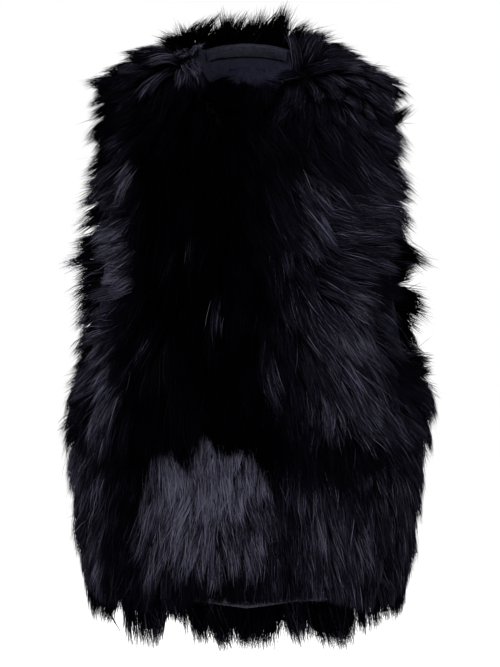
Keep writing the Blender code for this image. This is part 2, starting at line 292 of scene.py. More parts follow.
@dataclass(frozen=True)
class WovenFinish:
    """A close satin weave of upright and level threads."""

    name: str
    hollow: Colour
    crown: Colour
    thread: float = 0.0006
    depth: float = 0.0003
    roughness: float = 0.55
    specular: float = 0.15

    def material(self) -> bpy.types.Material:
        """Build the weave.

        Returns:
            The finished material.
        """
        material, shader = plain_material(self.name)
        nodes, links = material.node_tree.nodes, material.node_tree.links
        place = nodes.new("ShaderNodeTexCoord")
        crossing = nodes.new("ShaderNodeMath")
        crossing.operation = "MULTIPLY"
        for way, direction in enumerate(("X", "Z")):
            threads = nodes.new("ShaderNodeTexWave")
            threads.bands_direction = direction
            threads.inputs["Scale"].default_value = 1.0 / (self.thread * WAVES_PER_SCALE)
            links.new(place.outputs["Object"], threads.inputs["Vector"])
            links.new(threads.outputs["Fac"], crossing.inputs[way])
        dye = colour_ramp(material, (0.0, self.hollow), (1.0, self.crown))
        bump = nodes.new("ShaderNodeBump")
        bump.inputs["Distance"].default_value = self.depth
        links.new(crossing.outputs["Value"], dye.inputs["Fac"])
        links.new(crossing.outputs["Value"], bump.inputs["Height"])
        links.new(dye.outputs["Color"], shader.inputs["Base Color"])
        links.new(bump.outputs["Normal"], shader.inputs["Normal"])
        shader.inputs["Roughness"].default_value = self.roughness
        shader.inputs["Specular IOR Level"].default_value = self.specular
        return material


@dataclass(frozen=True)
class HairFinish:
    """Black hair with painted sheen. The hair's own map holds its tone across and the way from root to
    tip upward.

    stops are the tones and colours of the hair: black at 0, and towards 1 the blue-grey of painted sheen.
    A hair is darkest at its root, which is painted shade deep in the coat, dull where it is black and
    glossy where it is
    light: glossy_from is the tone that the gloss starts at. All of the gloss is coat.
    """

    name: str = "long_hair"
    stops: tuple[tuple[float, Colour], ...] = (
        (0.0, (0.0002, 0.0002, 0.0005)),
        (0.3, (0.0062, 0.0056, 0.0104)),
        (0.65, (0.033, 0.031, 0.051)),
        (1.0, (0.105, 0.102, 0.150)),
    )
    root_shade: float = 0.18
    shaded_length: float = 0.55
    roughness: tuple[float, float] = (0.95, 0.45)
    specular: float = 0.0
    gloss: float = 0.22
    glossy_from: float = 0.15
    gloss_roughness: float = 0.38

    def material(self) -> bpy.types.Material:
        """Build the hair.

        Returns:
            The finished material.
        """
        material, shader = plain_material(self.name)
        nodes, links = material.node_tree.nodes, material.node_tree.links
        place = nodes.new("ShaderNodeUVMap")
        place.uv_map = HAIR_MAP
        split = nodes.new("ShaderNodeSeparateXYZ")
        dye = colour_ramp(material, *self.stops)
        # painted shade: each hair darkens towards its root, deep in the coat
        shade = nodes.new("ShaderNodeMapRange")
        shade.inputs["From Max"].default_value = self.shaded_length
        shade.inputs["To Min"].default_value = self.root_shade
        shaded = nodes.new("ShaderNodeMix")
        shaded.data_type = "RGBA"
        shaded.blend_type = "MULTIPLY"
        shaded.inputs["Factor"].default_value = 1.0
        dullness = nodes.new("ShaderNodeMapRange")
        dullness.inputs["To Min"].default_value, dullness.inputs["To Max"].default_value = self.roughness
        shine = nodes.new("ShaderNodeMapRange")
        shine.inputs["From Min"].default_value = self.glossy_from
        shine.inputs["To Max"].default_value = self.gloss
        links.new(place.outputs["UV"], split.inputs["Vector"])
        for reader, socket in ((dye, "Fac"), (dullness, "Value"), (shine, "Value")):
            links.new(split.outputs["X"], reader.inputs[socket])
        links.new(split.outputs["Y"], shade.inputs["Value"])
        links.new(dye.outputs["Color"], shaded.inputs["A"])
        links.new(shade.outputs["Result"], shaded.inputs["B"])
        links.new(shaded.outputs["Result"], shader.inputs["Base Color"])
        links.new(dullness.outputs["Result"], shader.inputs["Roughness"])
        links.new(shine.outputs["Result"], shader.inputs["Coat Weight"])
        shader.inputs["Coat Roughness"].default_value = self.gloss_roughness
        shader.inputs["Specular IOR Level"].default_value = self.specular
        return material


@dataclass(frozen=True)
class WoolFinish:
    """The dense dark wool that closes the skin between the hairs."""

    name: str = "dark_wool"
    deep: Colour = (0.0002, 0.0002, 0.0004)
    raised: Colour = (0.0016, 0.0015, 0.0026)
    curl_scale: float = 420.0
    curl_detail: float = 4.0
    depth: float = 0.002
    roughness: float = 0.95
    specular: float = 0.02

    def material(self) -> bpy.types.Material:
        """Build the wool.

        Returns:
            The finished material.
        """
        material, shader = plain_material(self.name)
        nodes, links = material.node_tree.nodes, material.node_tree.links
        place = nodes.new("ShaderNodeTexCoord")
        curls = nodes.new("ShaderNodeTexNoise")
        curls.inputs["Scale"].default_value = self.curl_scale
        curls.inputs["Detail"].default_value = self.curl_detail
        dye = colour_ramp(material, (0.0, self.deep), (1.0, self.raised))
        bump = nodes.new("ShaderNodeBump")
        bump.inputs["Distance"].default_value = self.depth
        links.new(place.outputs["Object"], curls.inputs["Vector"])
        links.new(curls.outputs["Fac"], dye.inputs["Fac"])
        links.new(curls.outputs["Fac"], bump.inputs["Height"])
        links.new(dye.outputs["Color"], shader.inputs["Base Color"])
        links.new(bump.outputs["Normal"], shader.inputs["Normal"])
        shader.inputs["Roughness"].default_value = self.roughness
        shader.inputs["Specular IOR Level"].default_value = self.specular
        return material


@dataclass(frozen=True)
class NapSpot:
    """How the hair is combed at one place of a pelt.

    x and z place it in the front view and reach is how far it counts, in metres. bearing is the way
    the hair is combed, in degrees: 0 hangs down, 90 points to +X and 180 stands up. lift is 0 for hair
    that lies on the skin and 1 for hair that stands out of it. density is how much closer than elsewhere
    the hair is set, gather how far the tips of a lock run together and spread how much more than
    elsewhere the locks differ in bearing.
    """

    x: float
    z: float
    reach: float
    bearing: float
    lift: float
    length: float
    density: float = 1.0
    gather: float = 0.70
    spread: float = 1.0

    def mirrored(self) -> NapSpot:
        """Give this place on the other side of the body."""
        return replace(self, x=-self.x, bearing=-self.bearing)


@dataclass(frozen=True)
class DyeSpot:
    """A patch of another tone, painted on the hair: a lighter tone is painted sheen and a darker one
    painted shade.

    x and z are its middle and wide and high its half width and half height in the front view, in metres.
    tone runs from 0, black, to 1, blue-grey. sharp is 2 for a soft border and more for a crisper one.
    """

    x: float
    z: float
    wide: float
    high: float
    tone: float
    sharp: float = 2.0

    def mirrored(self) -> DyeSpot:
        """Give this patch on the other side of the body."""
        return replace(self, x=-self.x)


def both_sides(spots: tuple[Spot, ...]) -> tuple[Spot, ...]:
    """Add the mirror image of every spot that stands off the middle line.

    Args:
        spots: Places of one half.

    Returns:
        The places of both halves.
    """
    return spots + tuple(spot.mirrored() for spot in spots if spot.x != 0.0)


@dataclass(frozen=True)
class EdgeSpot:
    """One place of the line that a coat's tips may not hang below, and how unevenly they end there."""

    x: float
    z: float
    ragged: float


@dataclass
class Growth:
    """The hair's growth at many roots. combed is its direction in the front view."""

    combed: np.ndarray
    lift: np.ndarray
    length: np.ndarray
    density: np.ndarray
    gather: np.ndarray
    spread: np.ndarray
    tone: np.ndarray


@dataclass(frozen=True)
class NapField:
    """A pelt's places and its painted sheen and shade, blended into one smooth field. ground is the tone
    outside the patches, which is painted sheen on the black hair as far as it is above 0.

    far_pull and far_soft give each place a faint pull that counts only beyond the reach of them all.
    """

    spots: tuple[NapSpot, ...]
    ground: float
    dye: tuple[DyeSpot, ...]
    far_pull: float = 1e-9
    far_soft: float = 1e-4

    def at(self, points: np.ndarray) -> Growth:
        """Read the field.

        Args:
            points: Roots, one row each.

        Returns:
            The growth at each root.
        """
        x, z = points[:, 0], points[:, 2]
        table = np.array(
            [(s.x, s.z, s.reach, s.lift, s.length, s.density, s.gather, s.spread) for s in self.spots]
        )
        bearing = np.radians([s.bearing for s in self.spots])
        far = (x[:, None] - table[:, 0]) ** 2 + (z[:, None] - table[:, 1]) ** 2
        weight = np.exp(-0.5 * far / table[:, 2] ** 2) + self.far_pull / (far + self.far_soft)
        weight /= weight.sum(axis=1, keepdims=True)
        across = weight @ np.sin(bearing)
        upward = weight @ -np.cos(bearing)
        combed = np.stack((across, np.zeros_like(across), upward), axis=1)
        tone = np.full_like(x, self.ground)
        # paint the patches of painted sheen and painted shade into the tone
        for spot in self.dye:
            beside = np.abs(x - spot.x) / spot.wide
            above = np.abs(z - spot.z) / spot.high
            share = np.exp(-(beside ** spot.sharp) - above ** spot.sharp)
            tone += share * (spot.tone - tone)
        return Growth(combed, *(weight @ table[:, 3:]).T, tone)


class HideSurface:
    """The outer face of a packed skin, on which hair is rooted.

    It is made of the triangles whose outward share is more than least_outward.
    """

    least_outward: float = 0.5

    def __init__(self, node: bpy.types.Object) -> None:
        """Read the skin's outer triangles.

        Args:
            node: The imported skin.
        """
        mesh = node.data
        places = np.empty(len(mesh.vertices) * 3)
        mesh.vertices.foreach_get("co", places)
        mesh.calc_loop_triangles()
        corners = np.empty(len(mesh.loop_triangles) * 3, dtype=np.int64)
        mesh.loop_triangles.foreach_get("vertices", corners)
        rounded = np.round(places.reshape(-1, 3), MERGE_DECIMALS)
        whole, merged = np.unique(rounded, axis=0, return_inverse=True)
        corners = merged.reshape(-1)[corners].reshape(-1, 3)
        first, second, third = (whole[corners[:, i]] for i in range(3))
        normal = np.cross(second - first, third - first)
        outer = outward_share((first + second + third) / 3.0, unit(normal)) > self.least_outward
        normal = normal[outer]
        self.corners = corners[outer]
        self.places = whole
        self.areas = np.linalg.norm(normal, axis=1) / 2.0
        self.normals = np.zeros_like(whole)
        for corner in range(3):
            np.add.at(self.normals, self.corners[:, corner], normal)
        self.normals = unit(self.normals)

    def scatter(self, count: int, rng: np.random.Generator) -> tuple[np.ndarray, np.ndarray]:
        """Scatter roots evenly over the surface.

        Args:
            count: How many roots.
            rng: The seeded source of chance.

        Returns:
            The roots and the outward normals there.
        """
        face = rng.choice(len(self.areas), count, p=self.areas / self.areas.sum())
        first, second = rng.random(count), rng.random(count)
        over = first + second > 1.0
        first[over], second[over] = 1.0 - first[over], 1.0 - second[over]
        share = np.stack((1.0 - first - second, first, second), axis=1)[:, :, None]
        corners = self.corners[face]
        roots = (self.places[corners] * share).sum(axis=1)
        normals = unit((self.normals[corners] * share).sum(axis=1))
        return roots, normals

    def area(self) -> float:
        """Give the outer face's area in square metres."""
        return float(self.areas.sum())


def outward_share(points: np.ndarray, normals: np.ndarray) -> np.ndarray:
    """Tell how far faces look away from the body's middle line.

    Args:
        points: The faces' middles.
        normals: Their unit normals.

    Returns:
        1 for a face that looks straight out, -1 for one that looks straight in.
    """
    middle = np.zeros_like(points)
    middle[:, 2] = np.clip(points[:, 2], *MIDDLE_LINE)
    return (unit(points - middle) * normals).sum(axis=1)


@dataclass(frozen=True)
class Layer:
    """One kind of hair in a coat.

    length, tone and rise are shares of the lock's length and tone and of its height off the skin.
    """

    hairs: int
    width: float
    length: float = 1.0
    tone: float = 1.0
    rise: float = 1.0


@dataclass(frozen=True)
class CoatStyle:
    """How a coat's hair gathers into locks, and locks into tufts.

    Sizes are in metres and angles in degrees; the rest are shares. under is the broad dark hair that
    fills the coat and guard the fine long hair over it. edge is the line that the hair is trimmed to,
    where it is trimmed, and height is how far a hair may stand off the skin.
    """

    under: Layer
    guard: Layer
    edge: tuple[EdgeSpot, ...] = ()
    tuft_spacing: float = 0.040
    lock_spacing: float = 0.0135
    tuft_turn: float = 11.0
    lock_turn: float = 7.0
    tuft_lift: float = 0.05
    lock_lift: float = 0.04
    root_lift: float = 0.25
    length_scatter: float = 0.12
    lock_shade: float = 0.32
    hair_shade: float = 0.55
    wave: float = 0.0018
    stray_share: float = 0.05
    gravity: float = 0.15
    height: float = 0.030


@dataclass(frozen=True)
class LockHabit:
    """How the locks of every coat are laid. All are shares, and a pair is the least and the most.

    candidates is how many roots are tried in each square of the locks' spacing. least_apart is the share
    of their spacing that two locks, or two tufts, always keep.
    """

    candidates: float = 3.0
    least_apart: float = 0.8
    lift: tuple[float, float] = (0.02, 0.90)
    root_lift: tuple[float, float] = (0.0, 0.95)
    tip_lift: float = 0.5
    length: tuple[float, float] = (0.5, 1.5)
    tuft_tone: float = 0.6
    gather_scatter: float = 0.10
    gather: tuple[float, float] = (0.10, 0.95)


@dataclass(frozen=True)
class HairHabit:
    """How single hairs differ from their lock. Most are shares, and a pair is the least and the most.

    candidates is how many roots are tried for each hair. phase_scatter and wave_turn are in radians.
    gather_bend is the power of a hair's length by which it runs in to its lock, and tone_shift the
    logarithm of its mean tone.
    """

    candidates: int = 4
    jitter: float = 0.06
    stray_jitter: float = 0.22
    tip_jitter: float = 1.3
    mean_length: float = 0.96
    length_scatter: float = 0.13
    length: tuple[float, float] = (0.5, 1.3)
    phase_scatter: float = 0.5
    gather_bend: float = 1.6
    wave_turn: float = 5.0
    width_scatter: float = 0.25
    width: tuple[float, float] = (0.5, 1.8)
    tone_shift: float = -0.10
    tone: tuple[float, float] = (0.01, 0.99)


@dataclass
class Locks:
    """The leading hair of every lock: root, first and last direction, length, tone, gather and wave."""

    roots: np.ndarray
    start: np.ndarray
    end: np.ndarray
    length: np.ndarray
    tone: np.ndarray
    gather: np.ndarray
    phase: np.ndarray


@dataclass
class Hairs:
    """Many hairs: their middle lines, hair by step by coordinate, root normals, widths and tones."""

    line: np.ndarray
    normals: np.ndarray
    width: np.ndarray
    tone: np.ndarray

    def some(self, chosen: np.ndarray) -> Hairs:
        """Give only the chosen hairs."""
        return Hairs(self.line[chosen], self.normals[chosen], self.width[chosen], self.tone[chosen])

    def with_more(self, more: Hairs) -> Hairs:
        """Give these hairs and more of them."""
        return Hairs(*(np.concatenate(pair) for pair in zip(vars(self).values(), vars(more).values())))


@dataclass
class Coat:
    """The long hair of one pelt.

    steps are the parts of a hair's length. A trimmed hair is cut to one of trim_steps lengths, and
    least_left is the share of it that is always left.
    """

    surface: HideSurface
    nap: NapField
    style: CoatStyle
    seed: int
    lock_habit: LockHabit = LockHabit()
    hair_habit: HairHabit = HairHabit()
    steps: int = 3
    least_left: float = 0.12
    trim_steps: int = 24
    rng: np.random.Generator = field(init=False)

    def __post_init__(self) -> None:
        """Seed the coat's own source of chance."""
        self.rng = np.random.default_rng(self.seed)

    def comb(self) -> Locks:
        """Place the locks and give each its direction.

        Returns:
            The locks.
        """
        style, habit, rng = self.style, self.lock_habit, self.rng
        candidates = int(habit.candidates * self.surface.area() / style.lock_spacing ** 2)
        roots, normals = self.surface.scatter(candidates, rng)
        tufts = roots[spaced_out(roots, style.tuft_spacing * habit.least_apart)]
        chosen = spaced_out(roots, style.lock_spacing * habit.least_apart)
        roots, normals = roots[chosen], normals[chosen]
        tuft = nearest(tufts, roots)
        tuft_turn, tuft_lift, tuft_length, tuft_tone = rng.normal(0.0, 1.0, (4, len(tufts)))[:, tuft]
        count = len(roots)
        growth = self.nap.at(roots)
        turn = style.tuft_turn * tuft_turn + style.lock_turn * rng.normal(0.0, 1.0, count)
        combed = turned(growth.combed, np.radians(turn * growth.spread))
        lying = unit(combed - (combed * normals).sum(axis=1, keepdims=True) * normals)
        lift = growth.lift + style.tuft_lift * tuft_lift + style.lock_lift * rng.normal(0.0, 1.0, count)
        lift = np.clip(lift, *habit.lift)[:, None]
        root_lift = np.clip(lift + style.root_lift, *habit.root_lift)
        tip_lift = lift * habit.tip_lift
        fall = style.gravity * np.clip(1.0 - growth.combed[:, 2:], 0.0, 1.0)
        start = unit(lying * (1.0 - root_lift) + normals * root_lift)
        end = unit(lying * (1.0 - tip_lift) + normals * tip_lift + fall * DOWN)
        uneven = 1.0 + style.length_scatter * (tuft_length + rng.normal(0.0, 1.0, count))
        length = growth.length * np.clip(uneven, *habit.length)
        shade = habit.tuft_tone * tuft_tone + rng.normal(0.0, 1.0, count)
        tone = growth.tone * np.exp(style.lock_shade * shade)
        gather = np.clip(rng.normal(growth.gather, habit.gather_scatter, count), *habit.gather)
        return Locks(roots, start, end, length, tone, gather, rng.random(count) * 2.0 * math.pi)

    def grow(self) -> Hairs:
        """Grow every hair of the coat.

        Returns:
            The hairs.
        """
        locks = self.comb()
        under = self.strands(locks, self.style.under)
        return under.with_more(self.strands(locks, self.style.guard))

    def strands(self, locks: Locks, layer: Layer) -> Hairs:
        """Grow one kind of hair.

        Args:
            locks: The locks that the hair gathers into.
            layer: The kind of hair.

        Returns:
            Its hairs.
        """
        style, habit, rng, count = self.style, self.hair_habit, self.rng, layer.hairs
        roots, normals = self.surface.scatter(habit.candidates * count, rng)
        density = self.nap.at(roots).density
        set_here = rng.choice(len(roots), count, replace=False, p=density / density.sum())
        roots, normals = roots[set_here], normals[set_here]
        lock = nearest(locks.roots, roots)
        stray = rng.random(count) < style.stray_share
        jitter = rng.normal(0.0, habit.jitter, (count, 3))
        jitter += stray[:, None] * rng.normal(0.0, habit.stray_jitter, (count, 3))
        start = unit(locks.start[lock] + jitter)
        end = unit(locks.end[lock] + jitter * habit.tip_jitter)
        uneven = rng.normal(habit.mean_length, habit.length_scatter, count)
        length = locks.length[lock] * np.clip(uneven, *habit.length)
        gather = np.where(stray, 0.0, locks.gather[lock])
        phase = locks.phase[lock] + rng.normal(0.0, habit.phase_scatter, count)
        way = np.linspace(0.0, 1.0, self.steps + 1)[None, :, None]
        bend = start[:, None] * (way - way ** 2 / 2.0) + end[:, None] * (way ** 2 / 2.0)
        reach = length[:, None, None] * bend
        reach -= (roots - locks.roots[lock])[:, None] * gather[:, None, None] * way ** habit.gather_bend
        sideways = unit(np.cross(start, normals))
        wave = style.wave * np.sin(habit.wave_turn * way[:, :, 0] + phase[:, None]) * way[:, :, 0]
        reach += sideways[:, None] * wave[:, :, None]
        if style.edge:
            reach *= self.trimmed(roots, reach[:, -1])[:, None, None]
        reach *= layer.length
        rise = (reach * normals[:, None]).sum(axis=2, keepdims=True)
        lowered = layer.rise * style.height * np.tanh(rise / style.height)
        line = roots[:, None] + reach + (lowered - rise) * normals[:, None]
        width = layer.width * np.clip(rng.normal(1.0, habit.width_scatter, count), *habit.width)
        shade = np.exp(rng.normal(habit.tone_shift, style.hair_shade, count))
        tone = layer.tone * locks.tone[lock] * shade
        return Hairs(line, normals, width, np.clip(tone, *habit.tone))

    def trimmed(self, roots: np.ndarray, tips: np.ndarray) -> np.ndarray:
        """Cut hairs that hang below the style's edge line.

        Args:
            roots: The hairs' roots.
            tips: Their tips, from the roots.

        Returns:
            The share of each hair's length that stays.
        """
        across, lowest, ragged = np.array([(s.x, s.z, s.ragged) for s in self.style.edge]).T
        chance = self.rng.uniform(-1.0, 1.0, len(roots))
        share = np.full(len(roots), self.least_left)
        uncut = np.ones(len(roots), dtype=bool)
        for longer in np.linspace(self.least_left, 1.0, self.trim_steps)[1:]:
            end = roots + tips * longer
            limit = np.interp(end[:, 0], across, lowest) + chance * np.interp(end[:, 0], across, ragged)
            uncut &= end[:, 2] > limit
            share[uncut] = longer
        return share


def turned(vectors: np.ndarray, angles: np.ndarray) -> np.ndarray:
    """Turn directions of the front view.

    Args:
        vectors: Directions in the X and Z plane, one row each.
        angles: How far each turns, in radians, from down towards +X.

    Returns:
        The turned directions.
    """
    across, upward = vectors[:, 0], vectors[:, 2]
    cosine, sine = np.cos(angles), np.sin(angles)
    return np.stack(
        (across * cosine - upward * sine, np.zeros_like(across), across * sine + upward * cosine), axis=1
    )


def spaced_out(points: np.ndarray, apart: float) -> np.ndarray:
    """Choose points that keep a distance from each other.

    Args:
        points: Candidates, one row each.
        apart: The least distance between two chosen points.

    Returns:
        The chosen rows' numbers, in their first order.
    """
    tree = KDTree(len(points))
    for number, point in enumerate(points):
        tree.insert(point, number)
    tree.balance()
    free = np.ones(len(points), dtype=bool)
    chosen = []
    for number, point in enumerate(points):
        if not free[number]:
            continue
        chosen.append(number)
        for _, near, _ in tree.find_range(point, apart):
            free[near] = False
    return np.array(chosen)


def nearest(targets: np.ndarray, points: np.ndarray) -> np.ndarray:
    """Find the nearest target of every point.

    Args:
        targets: The places to choose from, one row each.
        points: The places that choose, one row each.

    Returns:
        The number of each point's nearest target.
    """
    tree = KDTree(len(targets))
    for number, target in enumerate(targets):
        tree.insert(target, number)
    tree.balance()
    return np.array([tree.find(point)[1] for point in points])


@dataclass(frozen=True)
class Ribbons:
    """How hairs become one mesh of ribbons that taper to a point.

    Each ribbon's normals spread across it by round_off, in degrees, so that it shines like a round hair.
    Its place on the hair map is its tone across and its length upward, so that hairs of one tone share
    their colours. root_width is the share of its width that a hair has at its root, swell how much it
    gains on its way, and point the power by which it closes to its tip.
    """

    round_off: float = 52.0
    map_half_width: float = 0.002
    map_margin: float = 0.01
    root_width: float = 0.75
    swell: float = 0.5
    point: float = 2.2

    def mesh(self, name: str, hairs: Hairs, rng: np.random.Generator) -> bpy.types.Mesh:
        """Join hairs into one mesh.

        Args:
            name: The mesh's name.
            hairs: The hairs.
            rng: The seeded source of chance.

        Returns:
            The mesh.
        """
        line = hairs.line
        count, points = line.shape[:2]
        steps = points - 1
        along = unit(np.gradient(line, axis=1))
        level = unit(np.cross(along, hairs.normals[:, None]))
        upright = np.cross(level, along)
        roll = rng.uniform(-1.0, 1.0, count)[:, None, None]
        side = level * np.cos(roll) + upright * np.sin(roll)
        facing = np.cross(side, along)
        way = np.linspace(0.0, 1.0, points)
        taper = (self.root_width + self.swell * way) * (1.0 - way ** self.point)
        half = 0.5 * hairs.width[:, None, None] * taper[None, :, None]
        pairs = np.stack((line - side * half, line + side * half), axis=2)
        lean = math.radians(self.round_off)
        sides = np.array((-1.0, 1.0))[None, None, :, None]
        pair_normals = facing[:, :, None] * math.cos(lean) + side[:, :, None] * sides * math.sin(lean)
        per_hair = 2 * steps + 1
        places = np.concatenate((pairs[:, :-1].reshape(count, -1, 3), line[:, -1:]), axis=1)
        shine = np.concatenate((pair_normals[:, :-1].reshape(count, -1, 3), facing[:, -1:]), axis=1)
        one_hair: list[int] = []
        starts: list[int] = []
        for step in range(steps - 1):
            starts.append(len(one_hair))
            one_hair += [2 * step, 2 * step + 1, 2 * step + 3, 2 * step + 2]
        starts.append(len(one_hair))
        one_hair += [2 * steps - 2, 2 * steps - 1, 2 * steps]
        corners = np.array(one_hair)[None] + per_hair * np.arange(count)[:, None]
        begins = np.array(starts)[None] + len(one_hair) * np.arange(count)[:, None]
        mesh = bpy.data.meshes.new(name)
        mesh.vertices.add(count * per_hair)
        mesh.vertices.foreach_set("co", places.astype(np.float32).ravel())
        mesh.loops.add(corners.size)
        mesh.loops.foreach_set("vertex_index", corners.astype(np.int32).ravel())
        mesh.polygons.add(begins.size)
        mesh.polygons.foreach_set("loop_start", begins.astype(np.int32).ravel())
        mesh.update(calc_edges=True)
        across = self.map_half_width * np.append(np.tile((-1.0, 1.0), steps), 0.0)
        upward = self.map_margin + (1.0 - 2.0 * self.map_margin) * np.append(np.repeat(way[:-1], 2), 1.0)
        map_x = hairs.tone[:, None] + across[one_hair][None]
        map_y = np.broadcast_to(upward[one_hair], map_x.shape)
        hair_map = mesh.uv_layers.new(name=HAIR_MAP)
        hair_map.data.foreach_set("uv", np.stack((map_x, map_y), axis=-1).astype(np.float32).ravel())
        mesh.polygons.foreach_set("use_smooth", np.ones(begins.size, dtype=bool))
        mesh.normals_split_custom_set_from_vertices(unit(shine.reshape(-1, 3)).tolist())
        return mesh


@dataclass(frozen=True)
class Finishes:
    """Every material of the vest."""

    inside: bpy.types.Material
    trim: bpy.types.Material
    weave: bpy.types.Material
    thread: bpy.types.Material
    wool: bpy.types.Material
    hair: bpy.types.Material


def all_finishes() -> Finishes:
    """Mix the vest's materials.

    Returns:
        The materials.
    """
    inside = LeatherFinish(
        "inner_leather", (0.008, 0.008, 0.022), (0.025, 0.025, 0.055), (0.60, 0.75), 0.8,
    )
    trim = LeatherFinish(
        "smooth_leather", (0.008, 0.008, 0.018), (0.040, 0.040, 0.066), (0.28, 0.52), 0.9,
    )
    weave = WovenFinish("label_weave", (0.008, 0.008, 0.032), (0.030, 0.031, 0.110))
    # nearly black thread, which also draws the neck facing's painted shadow line
    thread = WovenFinish(
        "sewing_thread", (0.0004, 0.0004, 0.0008), (0.0016, 0.0016, 0.0028), specular=0.02,
    )
    return Finishes(
        inside=inside.material(), trim=trim.material(), weave=weave.material(),
        thread=thread.material(), wool=WoolFinish().material(), hair=HairFinish().material(),
    )


@dataclass
class Pelt:
    """One pelt of the vest: its skin, the coat on it and the trims that are sewn to it.

    flat is the width and length of the piece of hide that it is cut from. Triangles are joined into
    larger faces where they bend by no more than join_bend, in degrees, and the join leaves corners within
    join_corner of square. Faces that look outward more than wool_from are wool.
    """

    name: str
    nap: NapField
    style: CoatStyle
    flat: tuple[float, float]
    seed: int
    trims: tuple[str, ...] = ()
    halved: bool = False
    sharp_edge: float = 50.0
    join_bend: float = 40.0
    join_corner: float = 60.0
    wool_from: float = -0.3

    def build(self, nodes: dict[str, bpy.types.Object], finishes: Finishes) -> None:
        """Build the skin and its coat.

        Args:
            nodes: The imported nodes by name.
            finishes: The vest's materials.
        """
        skin_node, fur_node = nodes[f"{self.name}_skin"], nodes[f"{self.name}_fur"]
        surface = HideSurface(skin_node)
        skin = self.build_skin(skin_node, finishes)
        coats = self.grow_coats(surface, fur_node, finishes.hair)

    def build_skin(self, node: bpy.types.Object, finishes: Finishes) -> bpy.types.Object:
        """Make the thin skin on its solid's form.

        Args:
            node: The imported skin.
            finishes: The vest's materials.

        Returns:
            The skin.
        """
        shell = bmesh.new()
        shell.from_mesh(node.data)
        bmesh.ops.remove_doubles(shell, verts=shell.verts, dist=MERGE_DISTANCE)
        bmesh.ops.join_triangles(
            shell, faces=shell.faces, angle_face_threshold=math.radians(self.join_bend),
            angle_shape_threshold=math.radians(self.join_corner),
        )
        bmesh.ops.recalc_face_normals(shell, faces=shell.faces)
        crease = shell.edges.layers.float.new("crease_edge")
        for edge in shell.edges:
            if edge.calc_face_angle(0.0) > math.radians(self.sharp_edge):
                edge[crease] = 1.0
        for face in shell.faces:
            middle = np.array([face.calc_center_median()])
            looks_out = outward_share(middle, np.array([face.normal]))[0]
            face.material_index = 0 if looks_out > self.wool_from else 1
        mesh = smooth_mesh(f"{self.name}_hide", shell, finishes.wool, finishes.inside)
        skin = new_piece(mesh.name, mesh)
        smooth = skin.modifiers.new("smooth_hide", "SUBSURF")
        smooth.levels = 1
        smooth.render_levels = 1
        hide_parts(node.name)
        return skin

    def grow_coats(self, surface: HideSurface, fur_node: bpy.types.Object,
                   hair: bpy.types.Material) -> list[bpy.types.Object]:
        """Grow the long hair, in one piece or in a right and a left half.

        Args:
            surface: The skin's outer face.
            fur_node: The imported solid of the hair's reach.
            hair: The hair's finish.

        Returns:
            The coats.
        """
        coat = Coat(surface, self.nap, self.style, self.seed)
        hairs = coat.grow()
        on_right = hairs.line[:, 0, 0] < 0.0
        shares = {"coat": np.ones_like(on_right)}
        if self.halved:
            shares = {"coat_right": on_right, "coat_left": ~on_right}
        pieces = []
        for ending, chosen in shares.items():
            mesh = Ribbons().mesh(f"{self.name}_{ending}", hairs.some(chosen), coat.rng)
            mesh.materials.append(hair)
            piece = new_piece(mesh.name, mesh)
            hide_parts(fur_node.name)
            pieces.append(piece)
        return pieces


